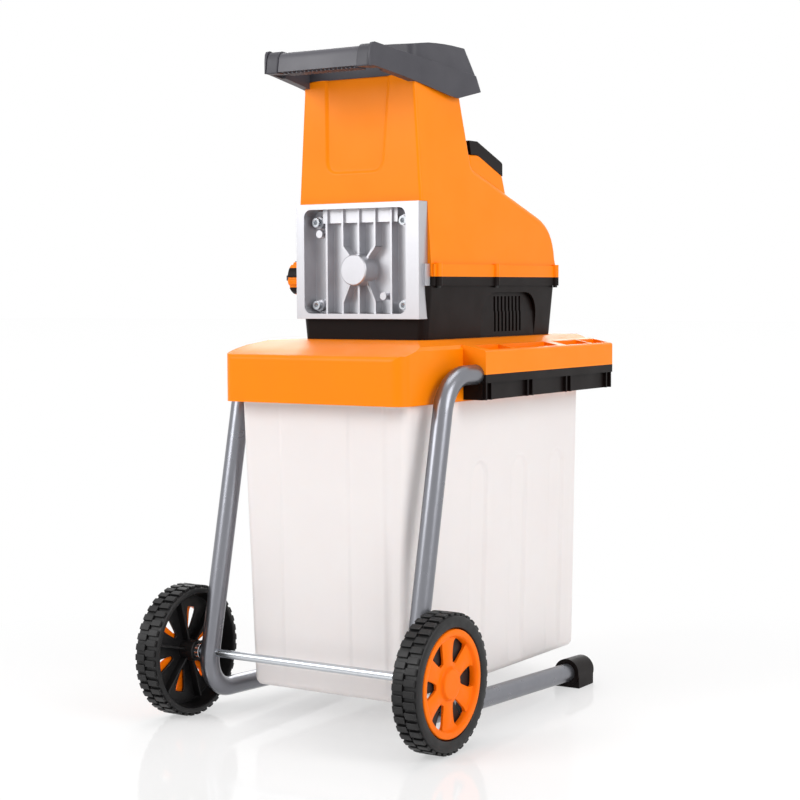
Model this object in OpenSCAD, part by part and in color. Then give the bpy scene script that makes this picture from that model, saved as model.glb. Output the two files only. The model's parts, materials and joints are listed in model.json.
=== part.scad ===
// Electric roller shredder for garden branches: hopper and cutter housing on a base cover,
// tube frame with two wheels, and a collection box that pulls out to the rear.
// Millimetres, +Z up, front (wheels and cast plate) at -Y, origin on the floor below the middle.

/* [Wheels and axle] */
// Diameter over the tread blocks
wheel_d = 190; // [180:1:200]
// Width of a wheel across the tyre
wheel_w = 40; // [38:1:46]
// Place of the axle along Y
wheel_y = -235; // [-240:1:-230]
// Gap between a frame tube and its wheel, filled by the spacer
wheel_gap = 9; // [6:0.5:14]
// Diameter of the axle rod
axle_d = 12; // [10:0.5:14]
// Height of the tread blocks
tread_h = 4; // [2:0.5:5]
// Tread blocks in each of the two rows
tread_count = 44; // [30:1:48]
// Outer radius of the spoked wheel cover
cap_r = 73; // [70:0.5:76]
// Spokes of the wheel cover
spoke_count = 6; // [5:1:8]

/* [Frame] */
// Outer diameter of the frame tubes
tube_d = 28; // [26:0.5:29]
// Wall of the frame tubes
tube_wall = 1.5; // [1:0.25:2.5]
// Distance of each tube from the middle plane
tube_x = 174; // [172:0.5:176]
// Backward lean of the uprights in degrees
lean = 12.3; // [10:0.1:14]
// Fall of the floor legs towards the feet in degrees
leg_slope = 2.2; // [1:0.1:2.4]
// Height of the floor legs' centre line below the axle
leg_z = 40; // [38:0.5:44]
// Centre line radius of the bend by the wheel
lower_bend_r = 45; // [42:1:50]
// Centre line radius of the bend by the cover
upper_bend_r = 60; // [50:1:65]
// Height of the upper legs' centre line
top_leg_z = 497; // [494:0.5:500]
// Rear end of the upper legs along Y
top_leg_end = 300; // [260:1:310]
// Front end of the feet along Y
foot_y = 206; // [190:1:212]
// Length of a foot
foot_len = 52; // [46:1:56]
// Width of a foot
foot_w = 42; // [38:1:43]

/* [Base cover] */
// Width of the cover without its side ledges
cover_w = 308; // [306:1:310]
// Front end of the cover along Y
cover_front = -227; // [-232:1:-222]
// Rear end of the cover along Y
cover_rear = 330; // [328:1:336]
// Height of the lower edge of the skirt
skirt_z = 459; // [457:0.5:461]
// Height of the deck that carries the housing
deck_z = 545; // [543:0.5:547]
// Height of the front edge of the deck
front_edge_z = 525; // [520:0.5:530]
// Place along Y where the front slope reaches the deck
slope_end = -148; // [-160:1:-140]
// Drop of the shoulders at the sides of the deck
shoulder_drop = 7; // [4:0.5:9]
// Width of the sloped shoulders
shoulder_w = 26; // [20:1:32]
// Wall of the cover
cover_wall = 3; // [2.5:0.1:3.5]
// Radius of the upright corners of the cover
cover_corner_r = 20; // [14:1:26]
// Width of a side ledge beyond the skirt
ledge_w = 37; // [36:0.5:40]
// Front end of the side ledges along Y
ledge_front = -69; // [-74:1:-66]
// Height of a ledge at its outer edge
ledge_outer_z = 531; // [529:0.5:534]
// Height of a ledge beside the skirt
ledge_inner_z = 539; // [535:0.5:541]
// Height of the floors of the trays in the ledges
tray_floor_z = 517; // [515:0.5:520]
// Wall round the trays
tray_wall = 6; // [5:0.5:7]
// Height of the grip band along a rail
rail_band_h = 12; // [9:0.5:15]
// Height of a rail
rail_h = 36; // [34:0.5:38]
// Step from the grip band to the lower part of a rail
rail_step = 5.5; // [4:0.5:6.5]
// Diameter of the bolts through rail, tube and ledge
frame_bolt_d = 6; // [5:0.5:7]

/* [Collection box] */
// Width of the box at its rim
box_w = 280; // [276:1:282]
// Front of the box at its rim along Y
box_front = -196; // [-200:1:-190]
// Rear of the box at its rim along Y
box_rear = 308; // [300:1:312]
// Height of the underside of the box
box_z = 44; // [42:1:60]
// Inward taper of each side from rim to floor
box_taper = 14; // [10:1:18]
// Wall of the box
box_wall = 3; // [2.5:0.1:4]
// Radius of the upright corners of the box
box_corner_r = 24; // [18:1:30]
// Width of the tall channels in the sides
channel_w = 44; // [36:1:50]
// Depth of the channels
channel_depth = 5; // [3:0.5:7]
// Height of the round tops of the channels
channel_top_z = 366; // [340:1:390]
// Spacing of the channels along Y
channel_step = 119; // [110:1:125]
// Place of the middle channel along Y
channel_mid_y = 120; // [100:1:130]
// Travel of the lock slider
lock_travel = 12; // [8:0.5:14]

/* [Housing] */
// Half width of the lower housing at the deck
house_half_w = 105; // [103:0.5:107]
// Front of the lower housing at the deck along Y
house_front = -94; // [-96:0.5:-92]
// Rear of the lower housing at the deck along Y
house_rear = 287; // [285:0.5:289]
// Outward draft of the lower housing over its height
house_draft = 7; // [5:0.5:9]
// Height of the joint between lower and upper housing
split_z = 635; // [633:0.5:637]
// Height of the flange below the joint
lower_flange_h = 13; // [10:0.5:16]
// Height of the flange above the joint
upper_flange_h = 18; // [14:0.5:20]
// Projection of the flanges from the walls
flange_lip = 4; // [3:0.5:5]
// Wall of the housings
house_wall = 3.5; // [3:0.1:4]
// Front of the neck along Y
neck_front = -101; // [-103:0.5:-100]
// Height of the top of the neck
neck_z = 913; // [908:0.5:918]
// Half width of the neck at its top
neck_half_w = 95; // [93:0.5:96]
// Half width of the upper housing at the joint
neck_foot_half_w = 110; // [109:0.5:111]
// Rear of the neck at its top along Y
neck_rear = 22; // [20:0.5:24]
// Backward run of the neck's rear for each unit of height going down
neck_fall = 0.26; // [0.24:0.01:0.28]
// Height of the motor hump where it leaves the neck
hump_front_z = 783; // [778:1:788]
// Height of the motor hump before its rounded rear
hump_rear_z = 724; // [720:1:728]
// Place along Y where the rounded rear of the hump starts
hump_round_y = 256; // [248:1:262]
// Inward draft of the hump's sides over its height
hump_draft = 7; // [5:0.5:9]

/* [Hopper hood] */
// Height of the top rim of the hood
hood_z = 961; // [955:1:967]
// Wall of the hood
hood_wall = 4; // [3:0.25:5]
// Rear tip of the hood along Y
hood_tip_y = 62; // [56:1:66]
// Half width of the hood at the rear tips
hood_tip_half_w = 111; // [108:0.5:114]
// Front of the handle along Y
handle_front = -205; // [-212:1:-200]
// Depth of the handle
handle_depth = 38; // [32:1:42]
// Height of the handle bar
handle_h = 28; // [26:0.5:32]
// Half length of the grip between the end caps
grip_half = 67; // [60:1:70]
// Length of an end cap of the handle
grip_cap_len = 19; // [16:1:22]
// Height of the underside of the handle
handle_z = 921; // [918:0.5:924]

/* [Cast plate and cutter] */
// Half width of the cast plate
plate_half_w = 106; // [104:0.5:107]
// Front face of the cast plate along Y
plate_front = -109; // [-112:0.5:-107]
// Depth of the plate in front of the housing
plate_depth = 23; // [21:0.5:25]
// Height of the lower edge of the plate
plate_z = 575; // [573:0.5:577]
// Height of the plate from its lower to its upper edge
plate_h = 162; // [159:0.5:164]
// Depth of the ribbed pocket
pocket_depth = 30; // [27:0.5:31]
// Half width of the ribbed pocket
pocket_half_w = 88; // [86:0.5:90]
// Height of the cooling ribs above the pocket floor
rib_h = 17; // [12:0.5:20]
// Spacing of the cooling ribs
rib_step = 28; // [26:0.5:29]
// Radius of the round bearing boss
boss_r = 22; // [20:0.5:24]
// Roller axis along X
roller_x = -5; // [-7:0.5:-3]
// Roller axis height
roller_z = 645; // [643:0.5:647]
// Radius over the roller's blades
roller_r = 40; // [38:0.5:41]
// Length of the cutting roller
roller_len = 84; // [80:0.5:85]
// Blades on the roller
blade_count = 8; // [6:1:10]
// Diameter of the roller shaft and the motor shaft
shaft_d = 15; // [14:0.5:16]
// Outer diameter of the ball bearings
bearing_d = 32; // [30:0.5:34]
// Width of the ball bearings
bearing_w = 9; // [8:0.5:10]
// Half spacing of the plate screws across
screw_half_x = 75.5; // [74:0.5:77]
// Half spacing of the plate screws up and down
screw_half_z = 59; // [57:0.5:60]
// Thread diameter of the plate screws
plate_screw_d = 8; // [7:0.5:8.5]
// Gap between roller and counter plate
cutting_gap = 1.2; // [0.9:0.1:2]
// Adjusting screw's place along Y
knob_y = -52; // [-54:0.5:-44]
// Radius of the adjusting knob
knob_r = 25; // [22:0.5:27]
// Length of the adjusting knob
knob_len = 24; // [20:0.5:28]
// Thread diameter of the adjusting screw
adjuster_d = 10; // [8:0.5:12]

/* [Drive] */
// Distance from the roller axis up to the layshaft
gear_centre = 54; // [52:0.5:55]
// Teeth of the layshaft pinion and of the motor pinion
pinion_teeth = 10; // [9:1:12]
// Teeth of the roller gear
roller_teeth = 50; // [44:1:54]
// Teeth of the layshaft gear
layshaft_teeth = 62; // [56:1:66]
// Diameter of the layshaft
layshaft_d = 12; // [10:0.5:13]
// Outer radius of the stator
stator_r = 52; // [48:0.5:53]
// Length of the stator
stator_len = 80; // [60:1:90]
// Radius of the rotor
rotor_r = 30; // [26:0.5:32]
// Radius of the cooling fan
fan_r = 50; // [44:0.5:52]

/* [Controls] */
// Half width of the control panel
panel_half_w = 99; // [96:0.5:100]
// Height of the panel's level front part
panel_z = 835; // [832:0.5:838]
// Rear of the panel along Y
panel_rear = 141; // [138:0.5:144]
// Drop of the panel from its level part to its rear edge
panel_drop = 27.5; // [24:0.5:30]
// Place along Y where the panel starts to slope
panel_bend = 66; // [64:0.5:70]
// Thickness of the panel cap
panel_h = 20; // [17:0.5:22]
// Diameter of the push buttons
button_d = 22; // [18:0.5:25]
// Travel of the push buttons
button_travel = 3; // [2:0.25:4]
// Diameter of the direction selector
selector_d = 30; // [26:0.5:34]

/* [Fits] */
// Gap between pieces that move past each other
gap = 0.3; // [0.25:0.05:0.5]
// Radial clearance of a shaft that turns in a hole
run_fit = 0.05; // [0.03:0.01:0.08]
// Radial clearance of pieces that are assembled and stay put
seat_fit = 0.1; // [0.05:0.05:0.2]

/* [Hidden] */
$fn = 64;

orange = "#f58212";
black = "#2b2829";
dark_grey = "#55555a";
silver = "#c9cacd";
zinc = "#a9adb2";
tube_grey = "#8f9197";
milky = "#efe8e5";

wheel_r = wheel_d / 2;
wheel_in = tube_x + tube_d / 2 + wheel_gap;
hub_len = wheel_w - 10;
hub_r = axle_d / 2 + 9;
washer_h = 2;
axle_end = hub_len + gap + washer_h + 1.2;
cover_half = cover_w / 2;
ledge_x = cover_half + ledge_w;
chute_x = [roller_x - 60, roller_x + 60];
chute_y = [plate_front + 41, plate_front + 123];

// Corners of the frame's centre line in the side plane, as [y, z]
axle_at = [wheel_y, wheel_r];
lean_dir = [sin(lean), cos(lean)];
leg_dir = [cos(leg_slope), -sin(leg_slope)];
heel = axle_at + (leg_z - wheel_r) / (cos(lean) + sin(lean) * tan(leg_slope)) * lean_dir;
knee = axle_at + (top_leg_z - wheel_r) / cos(lean) * lean_dir;
heel_turn = 90 + lean - leg_slope;
knee_turn = 90 - lean;
heel_cut = lower_bend_r * tan(heel_turn / 2);
knee_cut = upper_bend_r * tan(knee_turn / 2);
heel_mid = heel + heel_cut * leg_dir + lower_bend_r * [sin(leg_slope), cos(leg_slope)];
knee_mid = knee + [knee_cut, -upper_bend_r];
function leg_at(y) = heel + (y - heel[0]) / leg_dir[0] * leg_dir;

// Points of an arc about c, in n steps
function arc(c, r, from, to, n = 6) =
  [for (i = [0:n]) c + r * [cos(from + (to - from) * i / n), sin(from + (to - from) * i / n)]];
// Rounded rectangle, wider or narrower at its rear, counterclockwise from above
function round_plan(front_half, rear_half, front, rear, r, n = 6) = concat(
  arc([front_half - r, front + r], r, -90, 0, n), arc([rear_half - r, rear - r], r, 0, 90, n),
  arc([r - rear_half, rear - r], r, 90, 180, n), arc([r - front_half, front + r], r, 180, 270, n));
function at_height(plan, z) = [for (p = plan) [p[0], p[1], z]];

// Solid through rings of points, each counterclockwise as seen from the last ring's side
module loft(rings) {
  n = len(rings[0]);
  last = len(rings) - 1;
  polyhedron(
    points = [for (ring = rings) each ring],
    faces = concat(
      [[for (i = [0:n - 1]) i]],
      [[for (i = [n - 1:-1:0]) last * n + i]],
      [for (k = [0:last - 1], i = [0:n - 1]) [k * n + i, (k + 1) * n + i, (k + 1) * n + (i + 1) % n]],
      [for (k = [0:last - 1], i = [0:n - 1]) [k * n + i, (k + 1) * n + (i + 1) % n, k * n + (i + 1) % n]]));
}
// Tube through pairs of rings, one inside the other
module pipe(outer, inner) {
  n = len(outer[0]);
  last = len(outer) - 1;
  skin = n * (last + 1);
  polyhedron(
    points = concat([for (ring = outer) each ring], [for (ring = inner) each ring]),
    faces = concat(
      [for (k = [0:last - 1], i = [0:n - 1]) let (a = k * n + i, b = k * n + (i + 1) % n) [a, a + n,
        b + n, b]],
      [for (k = [0:last - 1], i = [0:n - 1]) let (a = skin + k * n + i, b = skin + k * n + (i + 1) % n)
        [a, b, b + n, a + n]],
      [for (i = [0:n - 1]) let (j = (i + 1) % n) [i, j, skin + j, skin + i]],
      [for (i = [0:n - 1]) let (a = last * n + i, b = last * n + (i + 1) % n) [a, skin + a, skin + b, b]]));
}
// Draws in the side plane: sketch x along +Y, sketch y along +Z, thickness along +X
module side_plane(x = 0) translate([x, 0, 0]) rotate([90, 0, 90]) children();
// Draws in the front plane: sketch x along +X, sketch y along +Z, thickness towards -Y
module front_plane(y = 0) translate([0, y, 0]) rotate([90, 0, 0]) children();
// Cylinder along Y from one place to another, on an axis given as [x, z]
module rod_y(at, from, to, d) translate([at[0], to, at[1]]) rotate([90, 0, 0]) cylinder(d = d,
  h = to - from);
// Cylinder along X from one place to another, on an axis given as [y, z]
module rod_x(at, from, to, d) translate([from, at[0], at[1]]) rotate([0, 90, 0]) cylinder(d = d,
  h = to - from);
module ring_y(at, from, to, outer, inner) {
  difference() {
    rod_y(at, from, to, outer);
    rod_y(at, from - 1, to + 1, inner);
  }
}
module block(x, y, z) translate([x[0], y[0], z[0]]) cube([x[1] - x[0], y[1] - y[0], z[1] - z[0]]);
module both_sides() {
  children();
  mirror([1, 0, 0]) children();
}

// Frame

// Straight stretch of tube between two points of the side plane
module run(a, b, d) {
  translate([a[0], a[1], 0]) rotate([0, 0, atan2(b[1] - a[1], b[0] - a[0])]) rotate([0, 90, 0])
    cylinder(d = d, h = norm(b - a));
}
tube_sides = 24;
heel_steps = 10;
knee_steps = 8;
leg_end = leg_at(foot_y + foot_len - 7);
function along_bend(centre, r, from, turn, steps) = [for (i = [0:steps])
  let (a = from - turn * i / steps) [centre + r * [cos(a), sin(a)], a]];
// Places along the frame's centre line with the direction of their outer side, from the foot to the cover
frame_stations = concat(
  [[leg_end, 270 - leg_slope]],
  along_bend(heel_mid, lower_bend_r, 270 - leg_slope, heel_turn, heel_steps),
  along_bend(knee_mid, upper_bend_r, 180 - lean, knee_turn, knee_steps),
  [[[top_leg_end, top_leg_z], 90]]);
function tube_rings(r) = [for (station = frame_stations) [for (i = [0:tube_sides - 1])
  let (a = 360 / tube_sides * (i + 0.5), at = station[0] + r * cos(a) * [cos(station[1]), sin(station[1])])
  [r * sin(a), at[0], at[1]]]];
frame_bolt_y = [ledge_front + 11, 172];
module frame_tube(side) {
  color(tube_grey) translate([side * tube_x, 0, 0]) difference() {
    pipe(tube_rings(tube_d / 2), tube_rings(tube_d / 2 - tube_wall));
    rod_x(axle_at, -tube_d, tube_d, axle_d + 2 * seat_fit);
    for (y = frame_bolt_y) translate([0, y, top_leg_z - tube_d])
      cylinder(d = frame_bolt_d + 2 * seat_fit, h = 2 * tube_d);
  }
}
module frame_tube_left() frame_tube(-1);
module frame_tube_right() frame_tube(1);

module foot(side) {
  color(black) translate([side * tube_x, 0, 0]) difference() {
    intersection() {
      union() {
        side_plane() run(leg_at(foot_y), leg_at(foot_y + foot_len), foot_w);
        block([-foot_w / 2, foot_w / 2], [foot_y + 2, foot_y + foot_len - 2], [0,
          leg_at(foot_y + foot_len)[1]]);
      }
      block([-foot_w, foot_w], [foot_y - foot_w, foot_y + 2 * foot_len], [0, 2 * foot_w]);
    }
    side_plane() run(leg_at(foot_y - 2), leg_at(foot_y + foot_len - 7), tube_d + 2 * seat_fit);
  }
}
module foot_left() foot(-1);
module foot_right() foot(1);

// Wheels

module axle() color(zinc) rod_x(axle_at, -wheel_in - axle_end, wheel_in + axle_end, axle_d);
module axle_spacers() {
  color(zinc) both_sides() difference() {
    rod_x(axle_at, wheel_in - wheel_gap + gap, wheel_in - gap, axle_d + 10);
    rod_x(axle_at, 0, wheel_in + 1, axle_d + 2 * seat_fit);
  }
}
module axle_lock_washers() {
  color(zinc) both_sides() difference() {
    rod_x(axle_at, wheel_in + hub_len + gap, wheel_in + hub_len + gap + washer_h, axle_d + 10);
    rod_x(axle_at, 0, wheel_in + wheel_w, axle_d + 2 * seat_fit);
  }
}
module on_axle(side) translate([side * wheel_in, wheel_y, wheel_r]) rotate([0, side * 90, 0]) children();
// Fan-shaped outline between two radii
function sector(inner, outer, half_inner, half_outer) =
  concat(arc([0, 0], outer, -half_outer, half_outer, 5), arc([0, 0], inner, half_inner, -half_inner, 5));
tread_root = wheel_r - tread_h;
bead_r = cap_r + gap;
row_edge = 3;
row_w = wheel_w / 2 - row_edge - 1.5;
function tread_outline(turn) = [for (i = [0:tread_count - 1], k = [0:3])
  let (a = 360 / tread_count * (i + turn + [0, 0, 0.62, 0.62][k]))
  ([tread_root - 0.6, wheel_r, wheel_r, tread_root - 0.6][k]) * [cos(a), sin(a)]];
module tread_row(turn) {
  linear_extrude(row_w) difference() {
    polygon(tread_outline(turn));
    circle(r = tread_root - 3);
  }
}
module wheel(side) {
  color(black) on_axle(side) difference() {
    union() {
      rotate_extrude() polygon([[bead_r, 0], [tread_root - 4, 0], [tread_root, 4],
        [tread_root, wheel_w - 4], [tread_root - 4, wheel_w], [bead_r, wheel_w]]);
      translate([0, 0, row_edge]) tread_row(0);
      translate([0, 0, wheel_w - row_edge - row_w]) tread_row(0.5);
      translate([0, 0, wheel_w / 2 - 3]) cylinder(r = bead_r + 1, h = 5);
      cylinder(r = hub_r, h = hub_len);
      for (i = [0:spoke_count - 1]) rotate([0, 0, 360 / spoke_count * i + 90])
        translate([hub_r - 2, -2, wheel_w / 2 - 12]) cube([bead_r - hub_r + 3, 4, 10]);
    }
    translate([0, 0, -1]) cylinder(d = axle_d + 2 * run_fit, h = wheel_w + 2);
    for (i = [0:spoke_count - 1]) rotate([0, 0, 360 / spoke_count * (i + 0.5) + 90])
      linear_extrude(wheel_w) polygon(sector(hub_r + 14, bead_r - 14, 13, 17));
  }
}
module wheel_left() wheel(-1);
module wheel_right() wheel(1);
cap_back = hub_len + 1;
cap_face = wheel_w - 3;
module wheel_cover(side) {
  color(orange) on_axle(side) difference() {
    union() {
      translate([0, 0, cap_back - 4]) difference() {
        cylinder(r = cap_r, h = cap_face - cap_back + 4);
        translate([0, 0, -1]) cylinder(r = cap_r - 13, h = wheel_w);
      }
      translate([0, 0, cap_back]) cylinder(r = hub_r + 10, h = wheel_w - cap_back);
      for (i = [0:spoke_count - 1]) rotate([0, 0, 360 / spoke_count * i + 90]) translate([0, 0, cap_back])
        linear_extrude(cap_face - cap_back) polygon(sector(hub_r + 9, cap_r - 12, 26, 11));
    }
    translate([0, 0, cap_back - 5]) cylinder(r = axle_d / 2 + 7, h = axle_end - cap_back + 7);
  }
}
module wheel_cover_left() wheel_cover(-1);
module wheel_cover_right() wheel_cover(1);

// Base cover

// Outer form of the cover, or its inside when drawn with an inset
module cover_form(inset) {
  half = cover_half - inset;
  front = cover_front + inset;
  rear = cover_rear - inset;
  low = skirt_z - (inset > 0 ? 1 : 0);
  top = deck_z - inset;
  r = cover_corner_r - inset;
  intersection() {
    translate([0, 0, low]) linear_extrude(top) polygon(round_plan(half, half, front, rear, r));
    side_plane(-cover_w) linear_extrude(2 * cover_w) polygon(concat(
      [[rear + 1, low], [rear + 1, top]], [[slope_end + inset, top]],
      arc([front + 8, front_edge_z - inset - 6], 8, 76, 180, 5), [[front, low]]));
    front_plane(cover_rear + 1) linear_extrude(cover_rear - cover_front + 2) polygon([
      [-half, low], [half, low], [half, top - shoulder_drop - 5], [half - 5, top - shoulder_drop],
      [half - shoulder_w, top], [shoulder_w - half, top], [5 - half, top - shoulder_drop],
      [-half, top - shoulder_drop - 5]]);
  }
}
runner_w = cover_half - cover_wall - box_w / 2 - 2;
runner_h = 4;
rim_z = skirt_z + runner_h + gap;
rim_h = 4;
rear_gate_z = rim_z + rim_h + 12;
divider_y = [[20, 27], [160, 184], [264, 271]];
tray_ends = [ledge_front + 22, each [for (d = divider_y) each d], cover_rear - tray_wall];
module ledge() {
  difference() {
    front_plane(cover_rear) linear_extrude(cover_rear - ledge_front) polygon([
      [cover_half - cover_wall, top_leg_z], [ledge_x, top_leg_z], [ledge_x, ledge_outer_z - 2],
      [ledge_x - 2, ledge_outer_z], [cover_half - cover_wall, ledge_inner_z]]);
    rod_y([tube_x, top_leg_z], ledge_front - 1, top_leg_end + 2, tube_d + 2 * seat_fit);
    for (i = [0:2:len(tray_ends) - 2]) block([cover_half + tray_wall, ledge_x - tray_wall],
      [tray_ends[i], tray_ends[i + 1]], [tray_floor_z, deck_z]);
    for (y = frame_bolt_y) translate([tube_x, y, top_leg_z - 1])
      cylinder(d = frame_bolt_d + 2 * seat_fit, h = tray_floor_z + 10 - top_leg_z);
  }
}
base_screw_at = [for (x = [-1, 1], y = [house_front + 26, house_rear - 26]) [x * (house_half_w - 14), y]];
module base_cover() {
  color(orange) difference() {
    union() {
      difference() {
        cover_form(0);
        cover_form(cover_wall);
      }
      both_sides() ledge();
      both_sides() block([cover_half - cover_wall - runner_w, cover_half - cover_wall + 1],
        [box_front, cover_rear - cover_wall - 1], [skirt_z, skirt_z + runner_h]);
    }
    block([cover_wall - cover_half, cover_half - cover_wall], [cover_rear - cover_corner_r, cover_rear + 1],
      [skirt_z - 1, rear_gate_z]);
    block(chute_x, chute_y, [deck_z - 2 * cover_wall, deck_z + 1]);
    for (p = base_screw_at) translate([p[0], p[1], deck_z - 10]) cylinder(d = 6 + 2 * seat_fit, h = 20);
  }
}
rail_out = ledge_x - rail_step;
rib_pair_y = [0, 0.32, 0.64, 1];
module rail() {
  color(black) difference() {
    union() {
      block([cover_half + gap, ledge_x], [ledge_front, cover_rear], [top_leg_z - rail_band_h, top_leg_z]);
      block([cover_half + gap, rail_out], [ledge_front, cover_rear], [top_leg_z - rail_h,
        top_leg_z - rail_band_h]);
      for (f = rib_pair_y, k = [0, 1]) translate([rail_out - 1,
        ledge_front + 2 + f * (cover_rear - ledge_front - 22) + 15 * k, top_leg_z - rail_h])
        cube([rail_step, 3, rail_h - rail_band_h]);
    }
    rod_y([tube_x, top_leg_z], ledge_front - 1, top_leg_end + 2, tube_d + 2 * seat_fit);
    for (y = frame_bolt_y) translate([tube_x, y, top_leg_z - rail_h - 1]) {
      cylinder(d = frame_bolt_d + 2 * seat_fit, h = rail_h + 2);
      cylinder(d = 2 * frame_bolt_d + 2 * seat_fit, h = frame_bolt_d + 1);
    }
  }
}
module rail_right() rail();
module rail_left() mirror([1, 0, 0]) rail();
module frame_bolts() {
  color(zinc) both_sides() for (y = frame_bolt_y) translate([tube_x, y, top_leg_z - rail_h]) {
    cylinder(d = frame_bolt_d, h = rail_h + tray_floor_z + 5 - top_leg_z);
    cylinder(d = 2 * frame_bolt_d, h = frame_bolt_d);
  }
}

// Collection box

box_top = rim_z;
function box_share(z) = (box_top - z) / (box_top - box_z);
function box_ring(z, inset) = at_height(round_plan(
  box_w / 2 - box_taper * box_share(z) - inset, box_w / 2 - box_taper * box_share(z) - inset,
  box_front + box_taper / 2 * box_share(z) + inset, box_rear - box_taper / 2 * box_share(z) - inset,
  max(box_corner_r - inset, 2), 8), z);
box_foot_r = 10;
module box_form(inset, top) {
  low = box_z + inset;
  loft(concat([for (t = [0:30:90]) box_ring(low + box_foot_r * (1 - cos(t)),
    inset + box_foot_r * (1 - sin(t)))],
    [box_ring(top, inset)]));
}
box_draft = atan(box_taper / (box_top - box_z));
// Tall round-topped channels in the right side, sunk by the given depth and widened by the given margin
module side_channels(depth, margin) {
  for (k = [-1:1]) translate([box_w / 2, channel_mid_y + k * channel_step, box_top]) rotate([0,
    box_draft, 0])
    translate([-depth, 0, 0]) rotate([90, 0, 90]) linear_extrude(40) {
      translate([-channel_w / 2 - margin, box_z - box_top - 30])
        square([channel_w + 2 * margin, channel_top_z - channel_w / 2 - box_z + 30]);
      translate([0, channel_top_z - channel_w / 2 - box_top]) circle(d = channel_w + 2 * margin);
    }
}
lock_half = 24;
lock_z = [rim_z - 34, rim_z + 7];
lock_seat = box_rear + 1;
module collection_box() {
  color(milky) union() {
    difference() {
      box_form(0, box_top + rim_h);
      both_sides() side_channels(channel_depth, 0);
      difference() {
        box_form(box_wall, box_top + rim_h + 1);
        both_sides() side_channels(channel_depth + box_wall, box_wall);
      }
    }
    translate([0, 0, box_top]) linear_extrude(rim_h) difference() {
      polygon(round_plan(cover_half - cover_wall - 1, cover_half - cover_wall - 1, box_front - 6, box_rear,
        box_corner_r));
      polygon(round_plan(box_w / 2 - box_wall, box_w / 2 - box_wall, box_front + box_wall,
        box_rear - box_wall,
        box_corner_r - box_wall));
    }
    // Pad behind the lock and the grip lip below it
    block([-lock_half - 6, lock_half + 6], [box_rear - 4, lock_seat], [lock_z[0] - 20, box_top]);
    for (s = [-1, 1]) block([s * (lock_half + 3 + gap) - 3, s * (lock_half + 3 + gap) + 3],
      [box_rear - 1, lock_seat + 6], [lock_z[0] - 20, box_top]);
    block([-70, 70], [box_rear - 10, cover_rear - 6], [lock_z[0] - 26, lock_z[0] - 20]);
  }
}
module box_lock_slider() {
  color(orange) union() {
    block([-lock_half, lock_half], [lock_seat + gap, lock_seat + 5], [lock_z[0], lock_z[1]]);
    block([-lock_half + 6, lock_half - 6], [lock_seat + 4, lock_seat + 12], [lock_z[0] + 3,
      lock_z[0] + 11]);
  }
}
module interlock_switch() {
  color(black) union() {
    block([-14, 14], [lock_seat - 8, lock_seat + 12], [deck_z - cover_wall - 30, deck_z - cover_wall]);
    translate([0, lock_seat + 2.5, lock_z[1] + lock_travel + 1])
      cylinder(d = 5, h = deck_z - cover_wall - 29 - lock_z[1] - lock_travel - 1);
  }
}

// Lower housing

lower_h = split_z - lower_flange_h - deck_z;
function house_ring(z, inset) =
  let (out = house_draft * (z - deck_z) / lower_h)
  at_height(round_plan(house_half_w + out - inset, house_half_w + out - inset,
    house_front - out / 3 + inset, house_rear + out / 3 - inset, 14 - inset), z);
flange_half = house_half_w + house_draft + flange_lip;
flange_front = plate_front + plate_depth + 2;
flange_rear = house_rear + house_draft / 3 + flange_lip;
flange_screw_at = [for (x = [-1, 1], y = [flange_front + 12, 92,
  flange_rear - 14]) [x * (flange_half - 0.5), y]];
flange_screw_d = 4;
flange_boss_r = 5.5;
vent_y = [62, 228];
slot_count = 8;
slot_w = 5;
slot_step = 11;
plug_half_w = plate_half_w - 8;
plug_back = plate_front + pocket_depth + 6;
lug_half = plate_half_w + 4;
lug_front = plate_front + 11;
module flange_plan(z, h) {
  translate([0, 0, z]) linear_extrude(h)
    polygon(round_plan(flange_half, flange_half, flange_front, flange_rear, 14));
  for (p = flange_screw_at) translate([p[0], p[1], z]) cylinder(r = flange_boss_r, h = h);
}
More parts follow.
